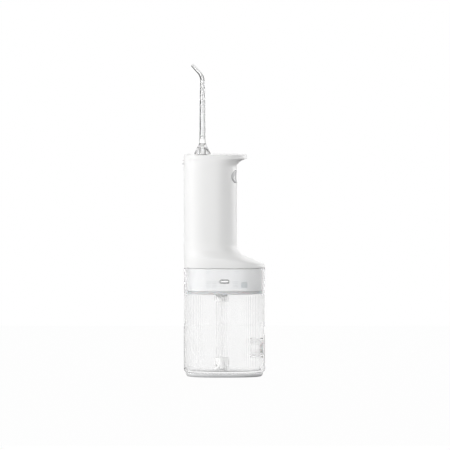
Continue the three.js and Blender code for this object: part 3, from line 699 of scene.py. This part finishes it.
def rear_key():
    """The rear control: a glossy pill that wraps the grip's back, with a shallow dish for the finger."""
    outline = pill_of("rear_jet_button", count=160)
    rings = []
    face = [(0.02, 0.45), (0.3, 0.42), (0.55, 0.33), (0.72, 0.2), (0.84, 0.07), (0.9, 0.03), (0.95, 0.05)]
    edge = [(0.985, 0.18), (1, 0.42), (1, 1.0), (1, 1.4)]
    inside = [(share, 1.5) for share in (0.9, 0.75, 0.55, 0.3, 0.02)]
    for share, drop in face + edge + inside:
        ring = [(y * share, JET_Z + z * share) for y, z in outline]
        rings.append([(back_x(GRIP_PLAN, y) - drop, y, z) for y, z in ring])
    key = skin("rear_key", rings)
    depth = GRIP_PLAN["back"] - 1 - JET_LOW.x
    stem = lathe("stem", [(0, 0), (2, 0), (2, depth), (0, depth)], at=(JET_LOW.x, 0, JET_Z), axis="X")
    return boolean(key, "UNION", stem)


# ---- Plug and what hangs from it ----


def plug_housing():
    """The pale lower housing: narrow foot for the seal ring, wide face, neck into the shell, open port."""
    rim, top, seat = PLUG_HIGH.z, SHELL_LOW.z, PLUG_LOW.z
    mouth = PLUG_INSET
    ledge = heights("plug_seal_ring")[1] + 0.3
    steps = [
        (mouth + 2.1, seat), (mouth + 1.7, seat + 0.4), (mouth + 1.6, ledge - 0.2), (mouth + 1.3, ledge),
        (mouth + 0.3, ledge), (mouth + 0.06, ledge + 0.12), (mouth, ledge + 0.4),
    ]
    steps += [(mouth, mix(ledge + 0.4, top - 0.9, i / 10)) for i in range(1, 11)]
    steps += [
        (mouth + 0.1, top - 0.6), (mouth + 0.4, top - 0.5), (mouth + 3.1, top - 0.5),
        (mouth + 3.2, top - 0.4), (mouth + 3.2, rim - 0.2), (mouth + 3.4, rim), (mouth + 5.2, rim),
        (mouth + 5.4, rim - 0.2), (mouth + 5.4, seat + 2.4), (mouth + 5.8, seat + 2.2),
    ]
    housing = skin("plug_housing", [level(plan(**TANK_PLAN, inset=inset), z) for inset, z in steps])
    port = [[(x, y, USB_Z + z) for x, z in pill(9.7, 3.9)] for y in (-TANK_HIGH.y, -TANK_HIGH.y + 8.2)]
    hole = lathe("cut_spigot", [(0, -2), (3.5, -2), (3.5, 4), (0, 4)], at=(SUCTION_X, 0, seat))
    return boolean(housing, "DIFFERENCE", skin("cut_port", port), hole)


SUCTION_X = middle("suction_tube")[0]
USB_Z = middle("usb_port_shell")[2]


def seal_ring():
    """A silicone ring with two lips."""
    low, high = heights("plug_seal_ring")
    outer = MOUTH_WALL + 0.3
    inner = MOUTH_WALL + 1.6
    height = high - low
    steps = []
    for i in range(25):
        wave = 0.5 - 0.5 * math.cos(4 * math.pi * i / 24)
        steps.append((outer + 0.45 * (1 - wave), low + height * i / 24))
    steps += [(inner, high), (inner, low)]
    return skin("seal_ring", [level(plan(**TANK_PLAN, inset=inset), z) for inset, z in steps], closed=True)


def usb_frame():
    """The charging port's folded steel shell."""
    size = USB_HIGH.x - USB_LOW.x, USB_HIGH.z - USB_LOW.z
    rings = []
    for wall, y in ((0.0, USB_HIGH.y), (0.0, USB_LOW.y + 0.1), (0.08, USB_LOW.y), (0.22, USB_LOW.y),
                    (0.3, USB_LOW.y + 0.1), (0.3, USB_HIGH.y - 0.6)):
        rings.append([(x, y, USB_Z + up) for x, up in pill(size[0] - 2 * wall, size[1] - 2 * wall)])
    return skin("usb_frame", rings)


def port_bung():
    """A soft dust plug that sits just inside the charging port's shell."""
    rings = []
    for inset, y in ((0.35, 0.2), (0.12, 0.24), (0.0, 0.4), (0.0, 1.2)):
        outline = pill(7.5 - 2 * inset, 1.75 - 2 * inset)
        rings.append([(x, USB_LOW.y + y, USB_Z + up) for x, up in outline])
    return skin("port_bung", rings)


def suction_fitting():
    profile = [(2, 0), (2, -6.8), (4.4, -6.8), (4.4, -12.5), (5, -12.5), (5, -8.4), (6, -7.6), (6, -5.1)]
    profile += [(3.1, -5.1), (3.1, 0)]
    top = heights("suction_connector")[1]
    return lathe("suction_fitting", rounded(profile, 0.25), at=(SUCTION_X, 0, top))


def suction_pipe():
    low, high = heights("suction_tube")
    profile = [(2.8, low), (4, low), (4, high), (2.8, high)]
    return lathe("suction_pipe", rounded(profile, 0.3), at=(SUCTION_X, 0, 0))


def filter_cup():
    """The filter's cup, with slots across its foot."""
    low, high = heights("suction_filter")
    profile = [(0, low, 0), (5.6, low), (6.25, low + 1), (6.25, high), (4.4, high)]
    profile += [(4.4, low + 3.1), (0, low + 3.1, 0)]
    cup = lathe("filter_cup", rounded(profile, 0.3), at=(SUCTION_X, 0, 0))
    slots = []
    for k in range(3):
        slot = block("slot", (-9, -0.6, low - 1), (9, 0.6, low + 4.8))
        slot.data.transform(Matrix.Rotation(math.radians(60 * k), 4, "Z"))
        slot.data.transform(Matrix.Translation(Vector((SUCTION_X, 0, 0)) * MM))
        slots.append(slot)
    return boolean(cup, "DIFFERENCE", *slots)


# ---- Tank ----


def smooth_step(value, low, high):
    share = min(1, max(0, (value - low) / (high - low)))
    return share * share * (3 - 2 * share)


def ribbed_ring(z):
    """An inner ring whose ribs fade out towards the floor and the ledge."""
    fade = smooth_step(z, 7, 12) * (1 - smooth_step(z, TANK_LEDGE - 1.2, TANK_LEDGE - 0.2))
    crest = plan(**TANK_PLAN, inset=RIBBED_WALL - 0.3 + RIB_DEPTH * fade, count=WALL_POINTS)
    valley = plan(**TANK_PLAN, inset=RIBBED_WALL - 0.3 - RIB_DEPTH * fade, count=WALL_POINTS)
    ring = []
    for k, ((ax, ay), (bx, by)) in enumerate(zip(crest, valley)):
        share = 0.5 - 0.5 * math.cos(2 * math.pi * k / STEPS_PER_RIB)
        ring.append((mix(ax, bx, share), mix(ay, by, share), z))
    return ring


def tank_wall():
    """The clear vessel: rounded foot, smooth mouth, ribs inside, filler recess, boss and collar."""

    def ring(inset, z):
        return level(plan(**TANK_PLAN, inset=inset, count=WALL_POINTS), z)

    low, rim = TANK_LOW.z, TANK_HIGH.z
    rings = [ring(TANK_ROUND + 1.5, low)]
    rings += [ring(inset, low + up) for up, inset in quarter_round(TANK_ROUND, 10)]
    rings += [ring(0, mix(low + TANK_ROUND, rim - 0.5, i / 12)) for i in range(1, 13)]
    rings += [ring(0.15, rim - 0.15), ring(0.5, rim)]
    rings += [ring(MOUTH_WALL - 0.5, rim), ring(MOUTH_WALL - 0.1, rim - 0.2)]
    rings += [ring(MOUTH_WALL, z) for z in (rim - 0.6, rim - 8, rim - 16, TANK_LEDGE + 1)]
    rings += [ring(MOUTH_WALL + 0.1, TANK_LEDGE + 0.3), ring(MOUTH_WALL + 0.3, TANK_LEDGE)]
    heights = [TANK_LEDGE - 0.2 - 0.2 * i for i in range(1, 6)] + [mix(13, 77, i / 16) for i in range(17)]
    heights += [12, 11, 10, 9, 8.1]
    rings += [ribbed_ring(z) for z in sorted(set(heights), reverse=True)]
    rings += [ring(RIBBED_WALL - 0.3 + inset, TANK_FLOOR + up) for inset, up in quarter_round(FLOOR_ROUND)]
    wall = skin("tank_wall", rings, smooth_angle=60)

    boss = block("boss", (BOSS_X, -13.4, TANK_FLOOR - 1), (37, 13.4, 51.8), 0.8, 3)
    profile = [(0, 0), (8.9, 0), (9.5, 0.6), (9.5, 10.8), (0, 10.8)]
    collar = lathe("collar", profile, at=(23.5, 0, PORT_Z), axis="X")
    boolean(wall, "UNION", boss, collar)
    low, high = RECESS_Z
    recess = prism_x("recess", round_box(22, high - low, 2.2), RECESS_X, TANK_HIGH.x + 3, (low + high) / 2)
    boolean(wall, "DIFFERENCE", recess)
    lugs = [block("lug", (RECESS_X - 1, y - 1.25, 9.6), (38.2, y + 1.25, 14), 0.4) for y in LUGS_Y]
    boolean(wall, "UNION", *lugs)
    hole = lathe("hole", [(0, 0), (7, 0), (7, 20), (0, 20)], at=(22.5, 0, PORT_Z), axis="X")
    return boolean(wall, "DIFFERENCE", hole, pin_cutter(10), smooth_angle=50)


def pin_cutter(reach):
    """The cutter for the hinge pin's hole, which reaches so far to each side."""
    profile = [(0, -reach), (PIN_HOLE, -reach), (PIN_HOLE, reach), (0, reach)]
    return lathe("pin_hole", profile, at=(PIN_X, 0, PIN_Z), axis="Y", steps=32)


TANK_ROUND = 3.0
TANK_FLOOR = 6.1
FLOOR_ROUND = 2
BOSS_X = 33.3
RECESS_X = 36.2
RECESS_Z = (10.4, 48.8)
LUGS_Y = (-6.75, 6.75)
PIN_HOLE = 0.95
PORT_Z = middle("filler_stopper")[2]
PIN_X, _, PIN_Z = middle("filler_hinge_pin")


def foot_pad():
    """The soft pad under the tank with a widely rounded lower edge."""
    low, high = heights("base_pad")
    steps = [(4.2, low), (3.6, low + 0.12), (3.0, low + 0.5), (2.5, low + 1.1), (2.15, low + 1.8)]
    steps += [(1.9, low + 2.5), (1.8, high - 0.1), (1.9, high)]
    return skin("foot_pad", [level(plan(**TANK_PLAN, inset=inset), z) for inset, z in steps])


def filler_door():
    """The filler cap: a curved plate flush with the tank's back, notched for the lugs of its hinge."""
    z = middle("filler_cap")[2]
    outline = round_box(CAP_HIGH.y - CAP_LOW.y, CAP_HIGH.z - CAP_LOW.z, 1.8, 160)
    rings = []
    for share, drop in ((0.02, 0), (0.5, 0), (0.9, 0), (0.95, 0.02), (0.98, 0.12), (0.995, 0.35), (1, 0.6)):
        rings.append([(back_x(TANK_PLAN, y * share) - drop, y * share, z + up * share) for y, up in outline])
    rings.append([(CAP_LOW.x + 0.2, y, z + up) for y, up in outline])
    rings.append([(CAP_LOW.x, y * 0.985, z + up * 0.99) for y, up in outline])
    door = skin("filler_door", rings)
    notches = [block("notch", (30, y - 1.65, 9), (44, y + 1.65, 15.4)) for y in LUGS_Y]
    return boolean(door, "DIFFERENCE", *notches, pin_cutter(5.5))


def filler_bung():
    """The stopper behind the filler cap, with two sealing lips."""
    low, high = STOPPER_LOW.x, STOPPER_HIGH.x
    length = high - low
    profile = [(0, 0), (4.9, 0), (5.5, 0.25), (5.7, 0.6), (6.15, 0.95), (6.2, 1.1), (6.15, 1.25), (5.75, 1.5)]
    profile += [(5.75, 1.9), (6.15, 2.2), (6.2, 2.35), (6.15, 2.5), (5.7, 2.8), (5.7, length), (0, length)]
    return lathe("filler_bung", profile, at=(low, 0, PORT_Z), axis="X")


def hinge_rod():
    length = PIN_HIGH.y - PIN_LOW.y
    profile = [(0, 0), (0.55, 0), (0.7, 0.15), (0.7, length - 0.15), (0.55, length), (0, length)]
    return lathe("hinge_rod", profile, at=(PIN_X, PIN_LOW.y, PIN_Z), axis="Y", steps=32)


# ---- Nozzle ----

NOZZLE_BEND = {"start": 283.4, "radius": 13.0, "angle": 43.0, "reach": 9.0}
SLEEVE_TOP = BASE_HIGH.z


def nozzle_stations(start, bend_steps=28):
    """Centres, directions and length shares of the bent tube above its shoulder."""
    angle = math.radians(NOZZLE_BEND["angle"])
    radius = NOZZLE_BEND["radius"]
    bend_z = NOZZLE_BEND["start"]
    stations = [(0, mix(start, bend_z, i / 12), 0) for i in range(12)]
    for i in range(bend_steps + 1):
        turn = angle * i / bend_steps
        stations.append((-radius * (1 - math.cos(turn)), bend_z + radius * math.sin(turn), turn))
    x, z, _ = stations[-1]
    reach = NOZZLE_BEND["reach"]
    for i in range(1, 5):
        step = reach * i / 4
        stations.append((x - step * math.sin(angle), z + step * math.cos(angle), angle))
    top = stations[-1][1]
    return [(x, z, turn, (z - start) / (top - start)) for x, z, turn in stations]


def round_section(x, z, turn, radius, steps=40):
    ring = []
    for k in range(steps):
        angle = 2 * math.pi * k / steps
        across, y = radius * math.cos(angle), radius * math.sin(angle)
        ring.append((NOZZLE_X + x + across * math.cos(turn), y, z + across * math.sin(turn)))
    return ring


def nozzle_pipe():
    """The clear bent tube with its narrow bore, rounded tip and short stem in the base's sleeve."""
    start = SLEEVE_TOP + 0.1
    foot = SLEEVE_TOP - 2.5
    stations = nozzle_stations(start)
    stem, shoulder, tip = 2.2, 2.9, 1.69
    bore, tip_bore = 0.3, 0.25
    rings = [round_section(0, foot, 0, stem), round_section(0, start - 0.01, 0, stem)]
    rings += [round_section(0, start, 0, shoulder - 0.25), round_section(0, start + 0.2, 0, shoulder)]
    rings += [round_section(x, z, turn, mix(shoulder, tip, share**2)) for x, z, turn, share in stations[1:]]
    x, z, turn, _ = stations[-1]
    for along, radius in ((0.14, tip - 0.13), (0.3, tip - 0.35), (0.34, tip_bore + 0.1)):
        rings.append(round_section(x - along * math.sin(turn), z + along * math.cos(turn), turn, radius))
    for x, z, turn, share in reversed(stations):
        rings.append(round_section(x, z, turn, mix(bore, tip_bore, share)))
    rings.append(round_section(0, foot, 0, bore))
    return skin("nozzle_pipe", rings, closed=True, smooth_angle=50)


def nozzle_foot():
    """The clear base: plug, hollow conical skirt and the sleeve that holds the tube."""
    low, skirt = BASE_LOW.z, SKIRT_Z
    plug = [(2.5, low), (4.5, low, 0.3), (4.5, low + 0.9), (3.8, low + 0.9), (3.8, low + 3.1)]
    plug.append((4.5, low + 3.1))
    hollow = [(4.5, skirt - 0.6), (3.0, skirt + 0.6, 0.4), (3.1, skirt + 6.2, 0.5), (6.9, skirt + 0.6, 0.2)]
    cone = [(7.2, skirt, 0.1), (7.9, skirt, 0.15), (7.9, skirt + 0.7, 0.4), (3.15, skirt + 10.4, 2.0)]
    profile = plug + hollow + cone + [(3.05, SLEEVE_TOP, 0.2), (2.5, SLEEVE_TOP, 0.1)]
    return lathe("nozzle_foot", rounded(profile, 0.2), at=(NOZZLE_X, 0, 0), smooth_angle=45)


SKIRT_Z = 213.5


def ring_seal(name, node):
    """A round-section ring that fills a CAD ring's box."""
    low, high = span(node)
    outer = (high.x - low.x) / 2
    half = (high.z - low.z) / 2
    x, _, z = middle(node)
    wide = RING_WIDTHS[node] / 2
    profile = []
    for k in range(20):
        angle = 2 * math.pi * k / 20
        profile.append((outer - wide + wide * math.cos(angle), half * math.sin(angle)))
    return lathe(name, profile, at=(x, 0, z), smooth_angle=60)


RING_WIDTHS = {"nozzle_o_ring": 0.4, "top_gasket": 1.1}


# ---- Printed marks ----


def plug_face_y(x):
    """Y of the plug's near face at a given X."""
    reach = TANK_PLAN["back"] - PLUG_INSET
    wide = TANK_PLAN["half_width"] - PLUG_INSET
    power = TANK_PLAN["power"]
    return -wide * (1 - abs(x / reach) ** power) ** (1 / power)


def plug_print():
    """Small plain marks beside the port: rows of short bars and one square, with no lettering."""
    bars = [(18.9, 88.8, 5.9, 5.9)]
    for left, top, width, rows in ((-17.6, 94.8, 4.4, 4), (-12.0, 94.8, 4.6, 4), (7.6, 94.8, 5.6, 4)):
        for row in range(rows):
            bars.append((left + width / 2, top - 1.6 * row - 3.0, width * (0.95 - 0.12 * (row % 3)), 0.5))
    bars += [(-15.6, 101.4, 4.2, 0.5), (-15.9, 100.1, 3.2, 0.5), (11.2, 101.4, 4.6, 0.5)]
    points, faces = [], []
    for x, z, width, height in bars:
        low, high = z - height / 2, z + height / 2
        rings = []
        for k in range(PRINT_STEPS + 1):
            px = x - width / 2 + width * k / PRINT_STEPS
            near, far = plug_face_y(px) - 0.04, plug_face_y(px) + 0.03
            rings.append([(px, near, low), (px, far, low), (px, far, high), (px, near, high)])
        faces += ring_faces(rings, start=len(points))
        points += [p for ring in rings for p in ring]
    return outward(new_object("plug_print", points, faces))


PRINT_STEPS = 6


# ---- Building it all ----

PIECES = [
    (tank_wall(), "tank", "tank_clear", "tank_vessel"),
    (foot_pad(), "tank", "pad_grey", "base_pad"),
    (hinge_rod(), "tank", "steel", "filler_hinge_pin"),
    (filler_door(), "filler", "body_white", "filler_cap"),
    (filler_bung(), "filler", "silicone", "filler_stopper"),
    (grip_shell(), "handle", "body_white", "handle_shell"),
    (top_plate(), "handle", "cover_white", "top_cover"),
    # Painted shade: the plug is the body's white plastic, dressed darker to look shaded behind the tank.
    (plug_housing(), "handle", "frame_grey", "lower_plug"),
    (seal_ring(), "handle", "silicone", "plug_seal_ring"),
    # Painted light: the fitting and the filter are grey parts dressed in the lighter body white, to lift the
    # shade they sit in under the plug.
    (suction_fitting(), "handle", "body_white", "suction_connector"),
    (suction_pipe(), "handle", "tank_clear", "suction_tube"),
    (filter_cup(), "handle", "body_white", "suction_filter"),
    (usb_frame(), "handle", "steel", "usb_port_shell"),
    (ring_seal("nozzle_gasket", "top_gasket"), "handle", "silicone", "top_gasket"),
    (rear_key(), "jet", "jet_grey", "rear_jet_button"),
    (round_button("power_key", "power_button"), "power", "button_white", "power_button"),
    (round_button("mode_key", "mode_button"), "mode", "button_white", "mode_button"),
    (release_key(), "release", "button_white", "release_button"),
    (nozzle_pipe(), "nozzle", "nozzle_clear", "nozzle_tube"),
    (nozzle_foot(), "nozzle", "nozzle_clear", "nozzle_base"),
    (ring_seal("nozzle_ring", "nozzle_o_ring"), "nozzle", "silicone", "nozzle_o_ring"),
]
for piece in PIECES:
    finish_piece(*piece)

for extra, slot in ((plug_print(), "silicone"), (port_bung(), "light_white")):
    dress(extra, slot)
    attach(extra, "handle")


def dress_frame():
    """Gives every CAD node its slot's material, and the ones that stay shown softened edges."""
    for row in frame["record"]["subparts"]:
        node = frame["nodes"][row["node"]]
        dress(node, row["material_slot"])
        if not node.hide_render:
            bevel(node, 0.12, 2, 50)
            shade(node)


dress_frame()

# ---- Studio ----

CAMERA_DISTANCE = 4.224  # metres in front of the object
CAMERA_HEIGHT = 0.3396
CAMERA_ASIDE = 0.0005
CAMERA_TILT = 2.635  # degrees below level
CAMERA_LENS = 352.0  # millimetres on a 36 mm sensor


SWEEP = {
    "light": 0.02,  # strength as a light, and in reflections of the near side
    "behind": (0.1, 0.7, 1.0),  # where reflections of the far side start and end to fade, and its brightness
    "left": (-0.9, -0.3, 0.75),  # the same for what is seen through glass, on the left and on the right
    "right": (0.3, 0.9, 0.45),
}


def studio_background():
    """White to the eye; through glass, a white panel between a grey left and a dark right side."""
    world = bpy.data.worlds.new("studio")
    bpy.context.scene.world = world
    tree = bare_tree(world)
    link = tree.links.new
    split = tree.nodes.new("ShaderNodeSeparateXYZ")
    link(tree.nodes.new("ShaderNodeTexCoord").outputs["Generated"], split.inputs["Vector"])

    def fade(axis, low, high, start, end):
        ramp = tree.nodes.new("ShaderNodeMapRange")
        ramp.interpolation_type = "SMOOTHSTEP"
        for socket, value in zip(("From Min", "From Max", "To Min", "To Max"), (low, high, start, end)):
            ramp.inputs[socket].default_value = value
        link(split.outputs[axis], ramp.inputs["Value"])
        return ramp.outputs["Result"]

    def choose(ray, otherwise, value):
        chosen = tree.nodes.new("ShaderNodeMix")
        link(path.outputs[ray], chosen.inputs["Factor"])
        for socket, source in (("A", otherwise), ("B", value)):
            if isinstance(source, float):
                chosen.inputs[socket].default_value = source
            else:
                link(source, chosen.inputs[socket])
        return chosen.outputs["Result"]

    path = tree.nodes.new("ShaderNodeLightPath")
    panel = tree.nodes.new("ShaderNodeMath")
    panel.operation = "MULTIPLY"
    low, high, grey = SWEEP["left"]
    link(fade("X", low, high, grey, 1.0), panel.inputs[0])
    low, high, dark = SWEEP["right"]
    link(fade("X", low, high, 1.0, dark), panel.inputs[1])
    low, high, bright = SWEEP["behind"]
    mirrored = choose("Is Glossy Ray", SWEEP["light"], fade("Y", low, high, SWEEP["light"], bright))
    seen = choose("Is Camera Ray", choose("Is Transmission Ray", mirrored, panel.outputs["Value"]), 1.0)
    strength = choose("Diffuse Depth", seen, SWEEP["light"])
    background = tree.nodes.new("ShaderNodeBackground")
    background.inputs["Color"].default_value = (1, 1, 1, 1)
    link(strength, background.inputs["Strength"])
    output = tree.nodes.new("ShaderNodeOutputWorld")
    link(background.outputs["Background"], output.inputs["Surface"])


FLOOR_BOUNCE = 0.15  # share of the lamps' light that the floor throws back up


def studio_floor():
    """A plain white floor that glows enough to hide its far edge, and still catches a faint shadow."""
    half = 700
    points = [(-half, -half, 0), (half, -half, 0), (half, half, 0), (-half, half, 0)]
    floor = new_object("floor", points, [(0, 1, 2, 3)])
    made = bpy.data.materials.new("floor_white")
    tree = bare_tree(made)
    link = tree.links.new

    def combine(operation, first, second):
        node = tree.nodes.new("ShaderNodeMath")
        node.operation = operation
        node.use_clamp = True
        link(first, node.inputs[0])
        link(second, node.inputs[1])
        return node.outputs["Value"]

    glow = tree.nodes.new("ShaderNodeEmission")
    glow.inputs["Strength"].default_value = 1.06
    matt = tree.nodes.new("ShaderNodeBsdfDiffuse")
    matt.inputs["Color"].default_value = (FLOOR_BOUNCE, FLOOR_BOUNCE, FLOOR_BOUNCE, 1)
    seen = tree.nodes.new("ShaderNodeMixShader")
    seen.inputs["Fac"].default_value = 0.08
    link(glow.outputs["Emission"], seen.inputs[1])
    link(matt.outputs["BSDF"], seen.inputs[2])
    path = tree.nodes.new("ShaderNodeLightPath")
    direct = combine("MAXIMUM", path.outputs["Is Camera Ray"], path.outputs["Is Transmission Ray"])
    either = tree.nodes.new("ShaderNodeMixShader")
    link(combine("SUBTRACT", direct, path.outputs["Diffuse Depth"]), either.inputs["Fac"])
    link(matt.outputs["BSDF"], either.inputs[1])
    link(seen.outputs["Shader"], either.inputs[2])
    output = tree.nodes.new("ShaderNodeOutputMaterial")
    link(either.outputs["Shader"], output.inputs["Surface"])
    floor.data.materials.append(made)


# name: (side, brightness, top); upright cards beside the nozzle, from 16 to 99 degrees off straight behind,
# that paint the shade along the nozzle's edges
NOZZLE_SHADE_CARDS = {
    "nozzle_shade_left": (-1, 0.3, 340),
    "nozzle_shade_right": (1, 0.0, 900),
}


def card(name, side, brightness, top):
    """A card that only shows through the nozzle's clear plastic, where it paints the grey and dark shade
    along the edges.
    """
    near, far = (side * 85, 300), (side * 600, -100)
    points = [(NOZZLE_X + x, y, z) for (x, y), z in ((near, 185), (far, 185), (far, top), (near, top))]
    made = bpy.data.materials.new(name)
    tree = bare_tree(made)
    glow = tree.nodes.new("ShaderNodeEmission")
    glow.inputs["Strength"].default_value = brightness
    output = tree.nodes.new("ShaderNodeOutputMaterial")
    tree.links.new(glow.outputs["Emission"], output.inputs["Surface"])
    obj = new_object(name, points, [(0, 1, 2, 3)])
    obj.data.materials.append(made)
    obj.visible_camera = obj.visible_diffuse = obj.visible_glossy = obj.visible_shadow = False


STRIP = (0.6, 0.3)  # widths and heights of the lamps in metres
TALL = (0.6, 0.8)
WIDE = (1.0, 1.0)
LAMPS = {  # name: (azimuth, elevation, size, power)
    "left_back": (-120, 6, STRIP, 1.9),
    "left": (-90, 6, STRIP, 4.4),
    "key": (-60, 6, STRIP, 9.3),
    "key_fill": (-30, 6, STRIP, 6.1),
    "front": (0, 6, STRIP, 6.0),
    "front_right": (60, 6, STRIP, 4.2),
    "right": (90, 6, STRIP, 3.0),
    "rim": (120, 6, STRIP, 6.1),
    "rim_high": (120, 28, TALL, 3.9),
    "top_right": (90, 60, WIDE, 1.6),
    "top_back": (180, 60, WIDE, 14.3),
}
LAMP_DISTANCE = 1.5


def softbox(name, azimuth, elevation, size, power):
    """An area lamp that faces the middle of the object. Azimuth 0 is the camera's side, 90 is +X."""
    aim = Vector((0, 0, 150)) * MM
    a, e = math.radians(azimuth), math.radians(elevation)
    away = Vector((math.sin(a) * math.cos(e), -math.cos(a) * math.cos(e), math.sin(e)))
    lamp = bpy.data.lights.new(name, "AREA")
    lamp.shape = "RECTANGLE"
    lamp.size, lamp.size_y = size
    lamp.energy = power
    obj = bpy.data.objects.new(name, lamp)
    obj.location = aim + away * LAMP_DISTANCE
    obj.rotation_mode = "QUATERNION"
    obj.rotation_quaternion = away.to_track_quat("Z", "Y")
    obj.visible_transmission = False
    bpy.context.scene.collection.objects.link(obj)
    return obj


def camera():
    data = bpy.data.cameras.new("camera")
    data.lens = CAMERA_LENS
    data.clip_end = 200
    obj = bpy.data.objects.new("camera", data)
    obj.location = (CAMERA_ASIDE, -CAMERA_DISTANCE, CAMERA_HEIGHT)
    obj.rotation_euler = (math.radians(90 - CAMERA_TILT), 0, 0)
    bpy.context.scene.collection.objects.link(obj)
    bpy.context.scene.camera = obj


studio_background()
studio_floor()
for name, settings in NOZZLE_SHADE_CARDS.items():
    card(name, *settings)
for name, settings in LAMPS.items():
    softbox(name, *settings)
camera()
bpy.context.scene.view_settings.view_transform = "Standard"
